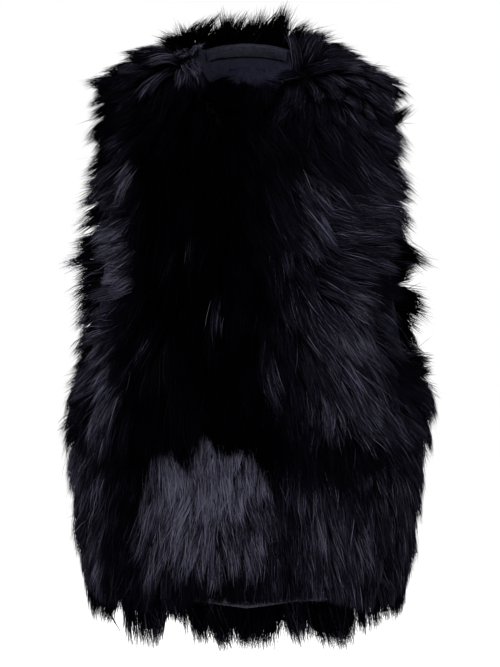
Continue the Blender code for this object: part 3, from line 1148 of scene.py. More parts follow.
FRONT_RIGHT_UPPER = NapField(
    spots=(
        NapSpot(x=-0.074, z=-0.026, reach=0.014, bearing=14.0, lift=0.08, length=0.036,
                density=3.0, gather=0.3, spread=0.3),
        NapSpot(x=-0.074, z=-0.002, reach=0.013, bearing=22.0, lift=0.10, length=0.030,
                density=3.0, gather=0.3, spread=0.3),
        NapSpot(x=-0.085, z=-0.060, reach=0.016, bearing=-4.0, lift=0.10, length=0.050),
        NapSpot(x=-0.058, z=-0.046, reach=0.011, bearing=10.0, lift=0.12, length=0.028,
                density=2.5, gather=0.3, spread=0.4),
        NapSpot(x=-0.122, z=-0.020, reach=0.016, bearing=-112.0, lift=0.72, length=0.050,
                density=3.5, gather=0.5),
        NapSpot(x=-0.150, z=-0.060, reach=0.028, bearing=-74.0, lift=0.20, length=0.030,
                density=4.0, gather=0.3),
        NapSpot(x=-0.158, z=-0.130, reach=0.024, bearing=-80.0, lift=0.16, length=0.040,
                density=4.5, gather=0.3),
        NapSpot(x=-0.132, z=-0.160, reach=0.020, bearing=-10.0, lift=0.15, length=0.055),
        NapSpot(x=-0.015, z=-0.084, reach=0.010, bearing=170.0, lift=0.08, length=0.013,
                density=4.0, gather=0.2),
        NapSpot(x=-0.042, z=-0.072, reach=0.009, bearing=120.0, lift=0.08, length=0.020,
                density=4.0, gather=0.2),
        NapSpot(x=-0.064, z=-0.180, reach=0.048, bearing=-5.0, lift=0.10, length=0.065, density=0.5),
        NapSpot(x=-0.064, z=-0.360, reach=0.052, bearing=-8.0, lift=0.10, length=0.060, density=0.5),
        NapSpot(x=-0.162, z=-0.210, reach=0.022, bearing=-85.0, lift=0.16, length=0.028,
                density=5.0, gather=0.3),
        NapSpot(x=-0.162, z=-0.285, reach=0.022, bearing=-94.0, lift=0.20, length=0.028,
                density=5.0, gather=0.3),
        NapSpot(x=-0.166, z=-0.360, reach=0.022, bearing=-72.0, lift=0.14, length=0.030,
                density=4.0, gather=0.35),
        NapSpot(x=-0.195, z=-0.440, reach=0.035, bearing=-55.0, lift=0.20, length=0.046, density=1.5),
        NapSpot(x=-0.135, z=-0.470, reach=0.026, bearing=-6.0, lift=0.08, length=0.125, density=1.3),
        NapSpot(x=-0.070, z=-0.470, reach=0.026, bearing=-2.0, lift=0.08, length=0.115, density=1.3),
        NapSpot(x=0.000, z=-0.470, reach=0.026, bearing=3.0, lift=0.08, length=0.120, density=1.3),
    ),
    ground=0.015,
    # painted light on the hair: lighter patches are painted sheen, darker ones painted shade
    dye=(
        DyeSpot(x=-0.077, z=-0.017, wide=0.023, high=0.027, tone=0.62, sharp=3.0),
        DyeSpot(x=-0.092, z=-0.082, wide=0.008, high=0.014, tone=0.22),
        DyeSpot(x=-0.080, z=-0.240, wide=0.022, high=0.008, tone=0.20),
        DyeSpot(x=-0.106, z=-0.370, wide=0.014, high=0.020, tone=0.20),
        DyeSpot(x=-0.036, z=-0.320, wide=0.005, high=0.034, tone=0.20),
        DyeSpot(x=-0.080, z=-0.420, wide=0.024, high=0.018, tone=0.12),
        DyeSpot(x=-0.128, z=-0.045, wide=0.034, high=0.034, tone=0.16),
        DyeSpot(x=-0.137, z=-0.150, wide=0.010, high=0.034, tone=0.42),
        DyeSpot(x=-0.155, z=-0.258, wide=0.022, high=0.080, tone=0.63),
        DyeSpot(x=-0.164, z=-0.360, wide=0.014, high=0.045, tone=0.46),
        DyeSpot(x=-0.166, z=-0.435, wide=0.018, high=0.060, tone=0.62),
        DyeSpot(x=-0.206, z=-0.430, wide=0.020, high=0.070, tone=0.20),
    ),
)
FRONT_RIGHT_LOWER = NapField(
    spots=(
        NapSpot(x=-0.195, z=-0.510, reach=0.030, bearing=-50.0, lift=0.14, length=0.048, density=1.3),
        NapSpot(x=-0.185, z=-0.610, reach=0.035, bearing=-25.0, lift=0.08, length=0.048),
        NapSpot(x=-0.140, z=-0.560, reach=0.030, bearing=-8.0, lift=0.10, length=0.055, density=0.8),
        NapSpot(x=-0.085, z=-0.570, reach=0.030, bearing=-10.0, lift=0.14, length=0.040,
                density=1.4, gather=0.4),
        NapSpot(x=-0.045, z=-0.530, reach=0.030, bearing=-2.0, lift=0.14, length=0.040,
                density=1.4, gather=0.4),
        NapSpot(x=0.004, z=-0.570, reach=0.030, bearing=12.0, lift=0.14, length=0.040,
                density=1.4, gather=0.4),
        NapSpot(x=-0.135, z=-0.650, reach=0.026, bearing=-8.0, lift=0.10, length=0.050),
        NapSpot(x=-0.075, z=-0.652, reach=0.025, bearing=-6.0, lift=0.10, length=0.046),
        NapSpot(x=-0.010, z=-0.660, reach=0.025, bearing=6.0, lift=0.10, length=0.046),
    ),
    ground=0.04,
    # painted light on the hair: lighter patches are painted sheen, darker ones painted shade
    dye=(
        DyeSpot(x=-0.205, z=-0.530, wide=0.034, high=0.090, tone=0.54),
        DyeSpot(x=-0.190, z=-0.630, wide=0.034, high=0.065, tone=0.44),
        DyeSpot(x=-0.040, z=-0.550, wide=0.085, high=0.096, tone=0.97, sharp=8.0),
        DyeSpot(x=-0.104, z=-0.640, wide=0.022, high=0.036, tone=0.45),
        DyeSpot(x=-0.046, z=-0.672, wide=0.056, high=0.036, tone=0.10, sharp=4.0),
        DyeSpot(x=0.034, z=-0.560, wide=0.022, high=0.090, tone=0.40),
        DyeSpot(x=0.000, z=-0.586, wide=0.012, high=0.018, tone=0.30),
    ),
)
FRONT_LEFT_UPPER = NapField(
    spots=(
        NapSpot(x=0.066, z=-0.012, reach=0.013, bearing=172.0, lift=0.25, length=0.050, density=2.4),
        NapSpot(x=0.052, z=-0.030, reach=0.013, bearing=205.0, lift=0.20, length=0.044, density=3.5),
        NapSpot(x=0.085, z=-0.022, reach=0.018, bearing=140.0, lift=0.30, length=0.050),
        NapSpot(x=0.114, z=-0.022, reach=0.020, bearing=112.0, lift=0.42, length=0.052, density=1.5),
        NapSpot(x=0.150, z=-0.060, reach=0.026, bearing=40.0, lift=0.12, length=0.030,
                density=1.6, gather=0.4),
        NapSpot(x=0.160, z=-0.122, reach=0.016, bearing=82.0, lift=0.26, length=0.054, density=3.0),
        NapSpot(x=0.160, z=-0.165, reach=0.020, bearing=86.0, lift=0.18, length=0.050,
                density=3.0, gather=0.5),
        NapSpot(x=0.025, z=-0.080, reach=0.010, bearing=190.0, lift=0.08, length=0.014,
                density=4.0, gather=0.2),
        NapSpot(x=0.047, z=-0.165, reach=0.036, bearing=26.0, lift=0.10, length=0.064),
        NapSpot(x=0.078, z=-0.074, reach=0.026, bearing=-6.0, lift=0.14, length=0.044,
                density=1.3, gather=0.5),
        NapSpot(x=0.120, z=-0.068, reach=0.024, bearing=-12.0, lift=0.16, length=0.040,
                density=1.3, gather=0.5),
        NapSpot(x=0.100, z=-0.145, reach=0.030, bearing=34.0, lift=0.10, length=0.056, gather=0.5),
        NapSpot(x=0.114, z=-0.218, reach=0.032, bearing=94.0, lift=0.10, length=0.056, gather=0.45),
        NapSpot(x=0.064, z=-0.205, reach=0.019, bearing=14.0, lift=0.12, length=0.056),
        NapSpot(x=0.066, z=-0.250, reach=0.017, bearing=16.0, lift=0.12, length=0.052),
        NapSpot(x=0.040, z=-0.300, reach=0.034, bearing=14.0, lift=0.10, length=0.070),
        NapSpot(x=0.115, z=-0.290, reach=0.034, bearing=78.0, lift=0.10, length=0.052, gather=0.35),
        NapSpot(x=0.115, z=-0.365, reach=0.034, bearing=54.0, lift=0.10, length=0.050, gather=0.35),
        NapSpot(x=0.120, z=-0.440, reach=0.040, bearing=30.0, lift=0.10, length=0.050, gather=0.35),
        NapSpot(x=0.047, z=-0.440, reach=0.040, bearing=4.0, lift=0.10, length=0.060),
        NapSpot(x=0.160, z=-0.220, reach=0.022, bearing=84.0, lift=0.20, length=0.042,
                density=3.5, gather=0.3),
        NapSpot(x=0.162, z=-0.300, reach=0.022, bearing=82.0, lift=0.20, length=0.044,
                density=3.5, gather=0.4),
        NapSpot(x=0.170, z=-0.366, reach=0.018, bearing=62.0, lift=0.12, length=0.032,
                density=3.5, gather=0.3),
        NapSpot(x=0.198, z=-0.405, reach=0.010, bearing=106.0, lift=0.46, length=0.062,
                density=4.0, gather=0.8),
        NapSpot(x=0.202, z=-0.430, reach=0.014, bearing=88.0, lift=0.46, length=0.064,
                density=3.5, gather=0.8),
        NapSpot(x=0.206, z=-0.455, reach=0.014, bearing=68.0, lift=0.36, length=0.056,
                density=2.5, gather=0.8),
        NapSpot(x=0.205, z=-0.482, reach=0.020, bearing=56.0, lift=0.24, length=0.048, density=1.5),
    ),
    ground=0.08,
    # painted light on the hair: lighter patches are painted sheen, darker ones painted shade
    dye=(
        DyeSpot(x=0.115, z=-0.036, wide=0.060, high=0.050, tone=0.36),
        DyeSpot(x=0.075, z=-0.005, wide=0.022, high=0.022, tone=0.20),
        DyeSpot(x=0.152, z=-0.110, wide=0.040, high=0.060, tone=0.28),
        DyeSpot(x=0.030, z=-0.280, wide=0.024, high=0.090, tone=0.14),
        DyeSpot(x=0.125, z=-0.225, wide=0.075, high=0.065, tone=0.37),
        DyeSpot(x=0.064, z=-0.210, wide=0.013, high=0.040, tone=0.56, sharp=3.0),
        DyeSpot(x=0.115, z=-0.320, wide=0.060, high=0.045, tone=0.39),
        DyeSpot(x=0.120, z=-0.385, wide=0.056, high=0.060, tone=0.54),
        DyeSpot(x=0.126, z=-0.455, wide=0.042, high=0.032, tone=0.54, sharp=4.0),
        DyeSpot(x=0.146, z=-0.304, wide=0.014, high=0.014, tone=0.05),
        DyeSpot(x=0.195, z=-0.440, wide=0.030, high=0.070, tone=0.26),
        # painted shadow in the gap between the front's side and the back's hair, below the armhole
        DyeSpot(x=0.186, z=-0.392, wide=0.013, high=0.036, tone=0.03),
        DyeSpot(x=0.020, z=-0.400, wide=0.014, high=0.090, tone=0.22),
    ),
)
FRONT_LEFT_LOWER = NapField(
    spots=(
        NapSpot(x=0.200, z=-0.510, reach=0.035, bearing=40.0, lift=0.14, length=0.050, density=1.3),
        NapSpot(x=0.110, z=-0.580, reach=0.060, bearing=4.0, lift=0.10, length=0.050,
                gather=0.5, spread=0.6),
        NapSpot(x=0.190, z=-0.635, reach=0.040, bearing=18.0, lift=0.08, length=0.050),
        NapSpot(x=0.100, z=-0.680, reach=0.024, bearing=4.0, lift=0.10, length=0.050),
    ),
    ground=0.24,
    # painted light on the hair: lighter patches are painted sheen, darker ones painted shade
    dye=(
        DyeSpot(x=0.120, z=-0.505, wide=0.080, high=0.026, tone=0.06, sharp=3.0),
        DyeSpot(x=0.110, z=-0.605, wide=0.090, high=0.060, tone=0.46),
        DyeSpot(x=0.190, z=-0.560, wide=0.040, high=0.070, tone=0.32),
        DyeSpot(x=0.045, z=-0.590, wide=0.016, high=0.090, tone=0.12),
    ),
)
BACK = NapField(
    spots=both_sides((
        NapSpot(x=0.000, z=0.002, reach=0.022, bearing=180.0, lift=0.20, length=0.066,
                density=5.0, gather=0.6),
        NapSpot(x=0.040, z=0.000, reach=0.018, bearing=168.0, lift=0.20, length=0.066,
                density=5.0, gather=0.6),
        NapSpot(x=0.030, z=-0.090, reach=0.035, bearing=8.0, lift=0.15, length=0.055),
        NapSpot(x=0.116, z=-0.018, reach=0.018, bearing=112.0, lift=0.46, length=0.050, density=3.0),
        NapSpot(x=0.150, z=-0.050, reach=0.030, bearing=70.0, lift=0.20, length=0.034,
                density=3.5, gather=0.4),
        NapSpot(x=0.060, z=-0.200, reach=0.070, bearing=14.0, lift=0.10, length=0.066),
        NapSpot(x=0.175, z=-0.130, reach=0.022, bearing=80.0, lift=0.20, length=0.034,
                density=5.0, gather=0.3),
        NapSpot(x=0.182, z=-0.200, reach=0.024, bearing=85.0, lift=0.22, length=0.042,
                density=8.0, gather=0.3),
        NapSpot(x=0.188, z=-0.285, reach=0.028, bearing=88.0, lift=0.42, length=0.054,
                density=8.0, gather=0.35),
        NapSpot(x=0.050, z=-0.380, reach=0.090, bearing=6.0, lift=0.10, length=0.066),
        NapSpot(x=0.200, z=-0.470, reach=0.040, bearing=45.0, lift=0.16, length=0.052, density=1.3),
        NapSpot(x=0.060, z=-0.600, reach=0.080, bearing=5.0, lift=0.10, length=0.062),
        NapSpot(x=0.190, z=-0.640, reach=0.040, bearing=22.0, lift=0.08, length=0.050),
        NapSpot(x=0.030, z=-0.735, reach=0.035, bearing=2.0, lift=0.10, length=0.110,
                density=9.0, gather=0.30, spread=1.2),
        NapSpot(x=0.110, z=-0.722, reach=0.030, bearing=14.0, lift=0.10, length=0.110,
                density=9.0, gather=0.30, spread=1.2),
        NapSpot(x=0.170, z=-0.700, reach=0.024, bearing=32.0, lift=0.10, length=0.105,
                density=8.0, gather=0.30, spread=1.2),
    )) + (
        NapSpot(x=0.066, z=0.000, reach=0.014, bearing=150.0, lift=0.25, length=0.056, density=5.0),
        NapSpot(x=-0.072, z=0.002, reach=0.014, bearing=-168.0, lift=0.45, length=0.062,
                density=6.5, gather=0.5),
        NapSpot(x=-0.096, z=-0.004, reach=0.013, bearing=-140.0, lift=0.80, length=0.046,
                density=6.0, gather=0.5),
        NapSpot(x=-0.195, z=-0.370, reach=0.022, bearing=-75.0, lift=0.36, length=0.046,
                density=6.0, gather=0.35),
        NapSpot(x=0.178, z=-0.100, reach=0.008, bearing=178.0, lift=0.16, length=0.072,
                density=9.0, gather=0.85),
        NapSpot(x=0.188, z=-0.250, reach=0.010, bearing=104.0, lift=0.38, length=0.076,
                density=9.0, gather=0.85),
        NapSpot(x=0.190, z=-0.285, reach=0.009, bearing=108.0, lift=0.40, length=0.080,
                density=9.0, gather=0.85),
        NapSpot(x=0.190, z=-0.308, reach=0.010, bearing=100.0, lift=0.40, length=0.074,
                density=7.0, gather=0.2),
        NapSpot(x=0.191, z=-0.330, reach=0.009, bearing=86.0, lift=0.42, length=0.072,
                density=7.0, gather=0.5),
        NapSpot(x=0.192, z=-0.350, reach=0.007, bearing=76.0, lift=0.38, length=0.060,
                density=8.0, gather=0.75),
        NapSpot(x=0.195, z=-0.378, reach=0.014, bearing=60.0, lift=0.05, length=0.020, density=6.0),
        NapSpot(x=0.200, z=-0.402, reach=0.009, bearing=116.0, lift=0.44, length=0.056,
                density=6.0, gather=0.80),
        NapSpot(x=0.204, z=-0.426, reach=0.011, bearing=96.0, lift=0.34, length=0.042,
                density=6.0, gather=0.80),
        NapSpot(x=0.208, z=-0.452, reach=0.012, bearing=74.0, lift=0.24, length=0.036,
                density=5.0, gather=0.80),
        NapSpot(x=-0.202, z=-0.410, reach=0.010, bearing=-60.0, lift=0.05, length=0.024, density=4.0),
        NapSpot(x=-0.188, z=-0.262, reach=0.010, bearing=-100.0, lift=0.50, length=0.078,
                density=8.0, gather=0.75),
        NapSpot(x=-0.126, z=-0.018, reach=0.016, bearing=-124.0, lift=0.80, length=0.050,
                density=7.0, gather=0.5),
    ),
    ground=0.18,
    # painted light on the hair: lighter patches are painted sheen, darker ones painted shade
    dye=both_sides((
        DyeSpot(x=0.050, z=0.000, wide=0.090, high=0.036, tone=0.09),
        DyeSpot(x=0.080, z=-0.220, wide=0.070, high=0.080, tone=0.30),
        DyeSpot(x=0.000, z=-0.400, wide=0.090, high=0.100, tone=0.40),
        DyeSpot(x=0.130, z=-0.560, wide=0.070, high=0.090, tone=0.38),
        DyeSpot(x=0.190, z=-0.300, wide=0.035, high=0.140, tone=0.36),
        DyeSpot(x=0.000, z=-0.735, wide=0.260, high=0.045, tone=0.27),
    )),
)

# The black hair above the lower pelt, whose lighter tone is painted sheen, ends in long points with short
# hair between them.
SHEEN_EDGE = (
    EdgeSpot(x=-0.200, z=-0.570, ragged=0.008),
    EdgeSpot(x=-0.128, z=-0.590, ragged=0.006),
    EdgeSpot(x=-0.122, z=-0.540, ragged=0.004),
    EdgeSpot(x=-0.112, z=-0.525, ragged=0.003),
    EdgeSpot(x=-0.096, z=-0.528, ragged=0.003),
    EdgeSpot(x=-0.082, z=-0.538, ragged=0.004),
    EdgeSpot(x=-0.072, z=-0.560, ragged=0.004),
    EdgeSpot(x=-0.066, z=-0.530, ragged=0.003),
    EdgeSpot(x=-0.060, z=-0.503, ragged=0.002),
    EdgeSpot(x=-0.053, z=-0.495, ragged=0.002),
    EdgeSpot(x=-0.044, z=-0.508, ragged=0.003),
    EdgeSpot(x=-0.033, z=-0.530, ragged=0.004),
    EdgeSpot(x=-0.012, z=-0.524, ragged=0.003),
    EdgeSpot(x=0.006, z=-0.528, ragged=0.004),
    EdgeSpot(x=0.020, z=-0.552, ragged=0.005),
    EdgeSpot(x=0.040, z=-0.600, ragged=0.008),
)
# The front hem shows the edge of its binding in the middle, and the hair rounds off both lower corners.
FRONT_EDGE = (
    EdgeSpot(x=-0.225, z=-0.660, ragged=0.008),
    EdgeSpot(x=-0.208, z=-0.695, ragged=0.008),
    EdgeSpot(x=-0.185, z=-0.716, ragged=0.008),
    EdgeSpot(x=-0.120, z=-0.722, ragged=0.007),
    EdgeSpot(x=-0.085, z=-0.714, ragged=0.004),
    EdgeSpot(x=-0.062, z=-0.7062, ragged=0.001),
    EdgeSpot(x=0.000, z=-0.7080, ragged=0.001),
    EdgeSpot(x=0.060, z=-0.7062, ragged=0.001),
    EdgeSpot(x=0.095, z=-0.7042, ragged=0.001),
    EdgeSpot(x=0.115, z=-0.711, ragged=0.004),
    EdgeSpot(x=0.150, z=-0.720, ragged=0.007),
    EdgeSpot(x=0.185, z=-0.716, ragged=0.008),
    EdgeSpot(x=0.208, z=-0.695, ragged=0.008),
    EdgeSpot(x=0.225, z=-0.660, ragged=0.008),
)
# The longer back hem ends in a rounded fringe with one gap.
TAIL_EDGE = (
    EdgeSpot(x=-0.225, z=-0.685, ragged=0.010),
    EdgeSpot(x=-0.205, z=-0.738, ragged=0.014),
    EdgeSpot(x=-0.185, z=-0.772, ragged=0.014),
    EdgeSpot(x=-0.165, z=-0.796, ragged=0.014),
    EdgeSpot(x=-0.145, z=-0.805, ragged=0.013),
    EdgeSpot(x=-0.118, z=-0.800, ragged=0.013),
    EdgeSpot(x=-0.110, z=-0.765, ragged=0.010),
    EdgeSpot(x=-0.092, z=-0.762, ragged=0.010),
    EdgeSpot(x=-0.080, z=-0.800, ragged=0.016),
    EdgeSpot(x=-0.040, z=-0.806, ragged=0.013),
    EdgeSpot(x=0.020, z=-0.804, ragged=0.014),
    EdgeSpot(x=0.060, z=-0.807, ragged=0.012),
    EdgeSpot(x=0.110, z=-0.804, ragged=0.014),
    EdgeSpot(x=0.148, z=-0.796, ragged=0.014),
    EdgeSpot(x=0.172, z=-0.782, ragged=0.014),
    EdgeSpot(x=0.190, z=-0.760, ragged=0.014),
    EdgeSpot(x=0.207, z=-0.725, ragged=0.012),
    EdgeSpot(x=0.225, z=-0.680, ragged=0.010),
)


def all_pelts() -> list[Pelt]:
    """List the vest's pelts.

    Returns:
        The pelts, fronts first.
    """
    fill = Layer(hairs=5200, width=0.0034, length=0.72, tone=0.20, rise=0.75)
    fill_low = Layer(hairs=3200, width=0.0034, length=0.72, tone=0.30, rise=0.75)
    fill_back = Layer(hairs=12000, width=0.0034, length=0.78, tone=0.25, rise=0.80)
    fine = CoatStyle(fill, Layer(hairs=28500, width=0.0008), SHEEN_EDGE)
    fine_low = CoatStyle(
        fill_low, Layer(hairs=18500, width=0.0008), FRONT_EDGE,
        tuft_turn=9.0, lock_turn=6.0, lock_shade=0.22,
    )
    bold = CoatStyle(
        fill, Layer(hairs=28500, width=0.0008),
        lock_spacing=0.017, tuft_spacing=0.052, tuft_turn=6.0, lock_turn=4.0, lock_shade=0.18,
        hair_shade=0.50, stray_share=0.03, gravity=0.06,
    )
    bold_low = CoatStyle(
        fill_low, Layer(hairs=17500, width=0.0008), FRONT_EDGE,
        lock_spacing=0.017, tuft_spacing=0.046, tuft_turn=7.0, lock_turn=4.0, lock_shade=0.18,
        stray_share=0.02,
    )
    behind = CoatStyle(fill_back, Layer(hairs=62000, width=0.0009), TAIL_EDGE, lock_spacing=0.015)
    return [
        Pelt("front_right_upper", FRONT_RIGHT_UPPER, fine, flat=(0.30, 0.52), seed=11),
        Pelt(
            "front_right_lower", FRONT_RIGHT_LOWER, fine_low, flat=(0.33, 0.22), seed=23,
            trims=("hem_binding_right_leather", "hem_binding_right_stitches"),
        ),
        Pelt("front_left_upper", FRONT_LEFT_UPPER, bold, flat=(0.30, 0.52), seed=37),
        Pelt(
            "front_left_lower", FRONT_LEFT_LOWER, bold_low, flat=(0.32, 0.22), seed=41,
            trims=("hem_binding_left_leather", "hem_binding_left_stitches"),
        ),
        Pelt(
            "back", BACK, behind, flat=(0.62, 0.79), seed=59,
            trims=(
                "hem_binding_back_leather", "hem_binding_back_stitches", "neck_facing_leather",
                "neck_facing_stitches", "bare_label", "label_stitches",
            ),
            halved=True,
        ),
    ]


def rounded_copy(node: bpy.types.Object, name: str, edge_round: float,
                 finish: bpy.types.Material) -> bpy.types.Object:
    """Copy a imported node, round its sharp edges and dress it.

    Args:
        node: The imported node.
        name: The new piece's name.
        edge_round: The width that is taken off each sharp edge.
        finish: Its material.

    Returns:
        The new piece, which stands for the node.
    """
    shape = bmesh.new()
    shape.from_mesh(node.data)
    bmesh.ops.remove_doubles(shape, verts=shape.verts, dist=MERGE_DISTANCE)
    bmesh.ops.recalc_face_normals(shape, faces=shape.faces)
    sharp = [edge for edge in shape.edges if edge.calc_face_angle(0.0) > SHARP_TRIM_EDGE]
    bmesh.ops.bevel(
        shape, geom=sharp, offset=edge_round, offset_type="OFFSET", segments=2, profile=0.5,
        affect="EDGES", material=-1,
    )
    piece = new_piece(name, smooth_mesh(name, shape, finish))
    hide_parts(node.name)
    return piece


@dataclass
class SeamLine:
    """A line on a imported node, found by looking at the node along one direction."""

    node: bpy.types.Object
    direction: Vector
    away: float = 0.5
    same_column: float = 0.005

    def lay(self, points: list[Vector]) -> list[tuple[Vector, Vector]]:
        """Lay points on the node.

        Args:
            points: Places seen along the direction; how deep they lie doesn't matter.

        Returns:
            The places on the node and the normals there, without the points that miss it.
        """
        mesh = self.node.data
        tree = BVHTree.FromPolygons(
            [corner.co for corner in mesh.vertices], [tuple(face.vertices) for face in mesh.polygons]
        )
        met = [tree.ray_cast(point - self.direction * self.away, self.direction)[:2] for point in points]
        return [(place, normal) for place, normal in met if place is not None]

    def lower_edge(self, across: np.ndarray) -> np.ndarray:
        """Read how low the node reaches.

        Args:
            across: Places along X.

        Returns:
            The height of the node's lower edge at each.
        """
        corners = np.array([corner.co for corner in self.node.data.vertices])
        place = np.round(corners[:, 0], 3)
        known = np.unique(place)
        lowest = np.array([corners[place == x, 2].min() for x in known])
        near = np.array([lowest[np.abs(known - x) < self.same_column].min() for x in known])
        return np.interp(across, known, near)


@dataclass
class Stitches:
    """A row of thread stitches, half sunk in what they hold.

    filled is the share of the pitch that a stitch covers. longest_gap is the widest step, in pitches,
    that is still sewn across.
    """

    pitch: float = 0.0034
    filled: float = 0.68
    thickness: float = 0.0006
    longest_gap: float = 3.0

    def build(self, name: str, line: list[tuple[Vector, Vector]], slot: Slot,
              finish: bpy.types.Material) -> bpy.types.Object:
        """Sew one row.

        Args:
            name: The row's name.
            line: Where the needle goes in, with the normals there.
            slot: Not used.
            finish: The thread.

        Returns:
            The row of stitches.
        """
        row = bmesh.new()
        for (place, _), (after, _) in zip(line, line[1:]):
            along = after - place
            if along.length > self.longest_gap * self.pitch:
                continue
            turn = along.to_track_quat("X", "Z").to_matrix().to_4x4()
            size = Matrix.Diagonal((along.length * self.filled, self.thickness, self.thickness, 1.0))
            seat = Matrix.Translation(place.lerp(after, 0.5)) @ turn @ size
            bmesh.ops.create_icosphere(row, subdivisions=1, radius=0.5, matrix=seat)
        return new_piece(name, smooth_mesh(name, row, finish))


@dataclass
class LeatherTrim:
    """The narrow smooth pieces, each with a row of stitches: the hem bindings and the neck facing.
    The neck facing's row is a thick, nearly black line of thread under its lower edge, a painted shadow
    of that edge.

    seen_from says from which side each piece shows.
    """

    seen_from: tuple[tuple[str, SeenFrom], ...] = (
        ("hem_binding_right", SeenFrom.FRONT),
        ("hem_binding_left", SeenFrom.FRONT),
        ("hem_binding_back", SeenFrom.BACK),
        ("neck_facing", SeenFrom.FRONT),
    )
    edge_round: float = 0.0003
    stitch_above_edge: float = 0.0055
    # painted shadow: a continuous dark row of thread just above the neck facing's lower edge
    shadow_line_above_edge: float = 0.0014
    end_margin: float = 0.004
    shadow_line: Stitches = field(default_factory=lambda: Stitches(filled=1.3, thickness=0.0024))

    def build(self, nodes: dict[str, bpy.types.Object], finishes: Finishes) -> None:
        """Round the trim's edges, dress it and sew it on.

        Args:
            nodes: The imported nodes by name.
            finishes: The vest's materials.
        """
        for name, side in self.seen_from:
            node = nodes[name]
            rounded_copy(node, f"{name}_leather", self.edge_round, finishes.trim)
            seam = SeamLine(node, side.direction())
            low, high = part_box(name)
            # the neck facing gets the painted shadow line instead of stitches
            stitches = self.shadow_line if name == "neck_facing" else Stitches()
            above = self.shadow_line_above_edge if name == "neck_facing" else self.stitch_above_edge
            steps = int((high.x - low.x) / stitches.pitch)
            across = np.linspace(low.x + self.end_margin, high.x - self.end_margin, steps)
            heights = seam.lower_edge(across) + above
            depth = (low.y + high.y) / 2.0
            points = [Vector((x, depth, z)) for x, z in zip(across, heights)]
            stitches.build(f"{name}_stitches", seam.lay(points), Slot.LEATHER, finishes.thread)


@dataclass
class BareLabel:
    """The small woven label inside the back neck, sewn down at both ends and left bare."""

    node: str = "label"
    edge_round: float = 0.00015
    stitch_inset: float = 0.0018
    stitches: Stitches = field(default_factory=lambda: Stitches(pitch=0.0026, thickness=0.0005))

    def build(self, nodes: dict[str, bpy.types.Object], finishes: Finishes) -> None:
        """Round the label's edges, dress it and sew it down.

        Args:
            nodes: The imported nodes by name.
            finishes: The vest's materials.
        """
        node = nodes[self.node]
        rounded_copy(node, "bare_label", self.edge_round, finishes.weave)
        seam = SeamLine(node, SeenFrom.FRONT.direction())
        low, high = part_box(self.node)
        steps = int((high.z - low.z) / self.stitches.pitch)
        heights = np.linspace(low.z, high.z, steps)
        ends = (low.x + self.stitch_inset, high.x - self.stitch_inset)
        points = [Vector((x, (low.y + high.y) / 2.0, z)) for x in ends for z in heights]
        self.stitches.build("label_stitches", seam.lay(points), Slot.LABEL, finishes.thread)


@dataclass(frozen=True)
class SoftBox:
    """One round soft light: where it hangs, how wide it is and its power in watts."""

    name: str
    place: tuple[float, float, float]
    size: float
    power: float


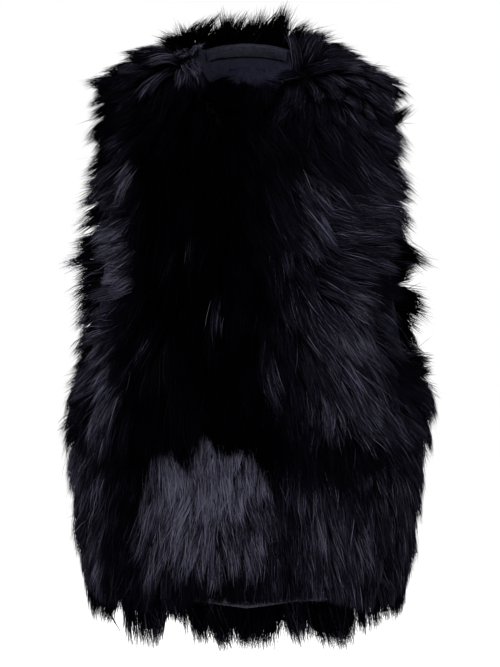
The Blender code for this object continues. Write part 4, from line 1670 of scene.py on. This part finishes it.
@dataclass
class Studio:
    """The pale floor, the soft lights and the camera."""

    floor_level: float = -1.15
    floor_half: float = 9.0
    floor_colour: Colour = (0.9, 0.9, 0.9)
    floor_roughness: float = 0.8
    scale: float = 0.0013
    distance: float = 2.6
    aim: tuple[float, float, float] = (0.004, 0.0, -0.372)
    room_light: float = 0.04
    lights: tuple[SoftBox, ...] = (
        SoftBox("key_light", (-1.3, -2.2, 1.1), 1.2, 60.0),
        SoftBox("fill_light", (1.9, -1.8, 0.3), 1.4, 40.0),
        SoftBox("top_light", (0.0, -0.3, 1.9), 1.2, 45.0),
        SoftBox("back_light_right", (-1.6, 2.3, 0.9), 1.4, 45.0),
        SoftBox("back_light_left", (1.6, 2.3, 0.5), 1.4, 35.0),
    )

    def build(self) -> None:
        """Set up everything that isn't the vest."""
        self.lay_floor()
        self.hang_lights()
        self.set_camera()
        self.set_world()

    def lay_floor(self) -> None:
        """Lay the pale floor, which looks white and lights nothing."""
        floor = bmesh.new()
        bmesh.ops.create_grid(floor, x_segments=1, y_segments=1, size=self.floor_half)
        bmesh.ops.translate(floor, verts=floor.verts, vec=Vector((0.0, 0.0, self.floor_level)))
        material, shader = plain_material("pale_floor")
        shader.inputs["Base Color"].default_value = (*self.floor_colour, 1.0)
        shader.inputs["Roughness"].default_value = self.floor_roughness
        shader.inputs["Emission Color"].default_value = (1.0, 1.0, 1.0, 1.0)
        seen = material.node_tree.nodes.new("ShaderNodeLightPath")
        material.node_tree.links.new(seen.outputs["Is Camera Ray"], shader.inputs["Emission Strength"])
        piece = bpy.data.objects.new("pale_floor", smooth_mesh("pale_floor", floor, material))
        bpy.context.scene.collection.objects.link(piece)

    def hang_lights(self) -> None:
        """Hang the soft boxes and aim them at the vest."""
        for light in self.lights:
            data = bpy.data.lights.new(light.name, "AREA")
            data.shape = "DISK"
            data.size = light.size
            data.energy = light.power
            lamp = bpy.data.objects.new(light.name, data)
            lamp.location = light.place
            aim = Vector(self.aim) - Vector(light.place)
            lamp.rotation_euler = aim.to_track_quat("-Z", "Y").to_euler()
            bpy.context.scene.collection.objects.link(lamp)

    def set_camera(self) -> None:
        """Stand the camera straight before the vest, at the middle of its height."""
        data = bpy.data.cameras.new("camera")
        half_height = PICTURE_HEIGHT * self.scale / 2.0
        data.lens = data.sensor_width / 2.0 * self.distance / half_height
        camera = bpy.data.objects.new("camera", data)
        camera.location = Vector(self.aim) - Vector((0.0, self.distance, 0.0))
        camera.rotation_euler = (math.radians(90.0), 0.0, 0.0)
        bpy.context.scene.collection.objects.link(camera)
        bpy.context.scene.camera = camera

    def set_world(self) -> None:
        """Show white behind the vest and keep the room round it dim."""
        world = bpy.data.worlds.new("studio")
        world.use_nodes = True
        nodes, links = world.node_tree.nodes, world.node_tree.links
        seen = nodes.new("ShaderNodeLightPath")
        shade = nodes.new("ShaderNodeMapRange")
        shade.inputs["To Min"].default_value = self.room_light
        shade.inputs["To Max"].default_value = 1.0
        links.new(seen.outputs["Is Camera Ray"], shade.inputs["Value"])
        links.new(shade.outputs["Result"], nodes["Background"].inputs["Strength"])
        nodes["Background"].inputs["Color"].default_value = (1.0, 1.0, 1.0, 1.0)
        bpy.context.scene.world = world
        bpy.context.scene.view_settings.view_transform = "Standard"


def main() -> None:
    """Build the vest's looks piece by piece."""
    logging.basicConfig(level=logging.INFO, format="%(name)s: %(message)s")
    for leftover in list(bpy.data.objects):
        bpy.data.objects.remove(leftover, do_unlink=True)
    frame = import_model()
    nodes = frame["nodes"]
    finishes = all_finishes()
    LeatherTrim().build(nodes, finishes)
    BareLabel().build(nodes, finishes)
    for pelt in all_pelts():
        pelt.build(nodes, finishes)
    Studio().build()


if __name__ == "__main__":
    main()
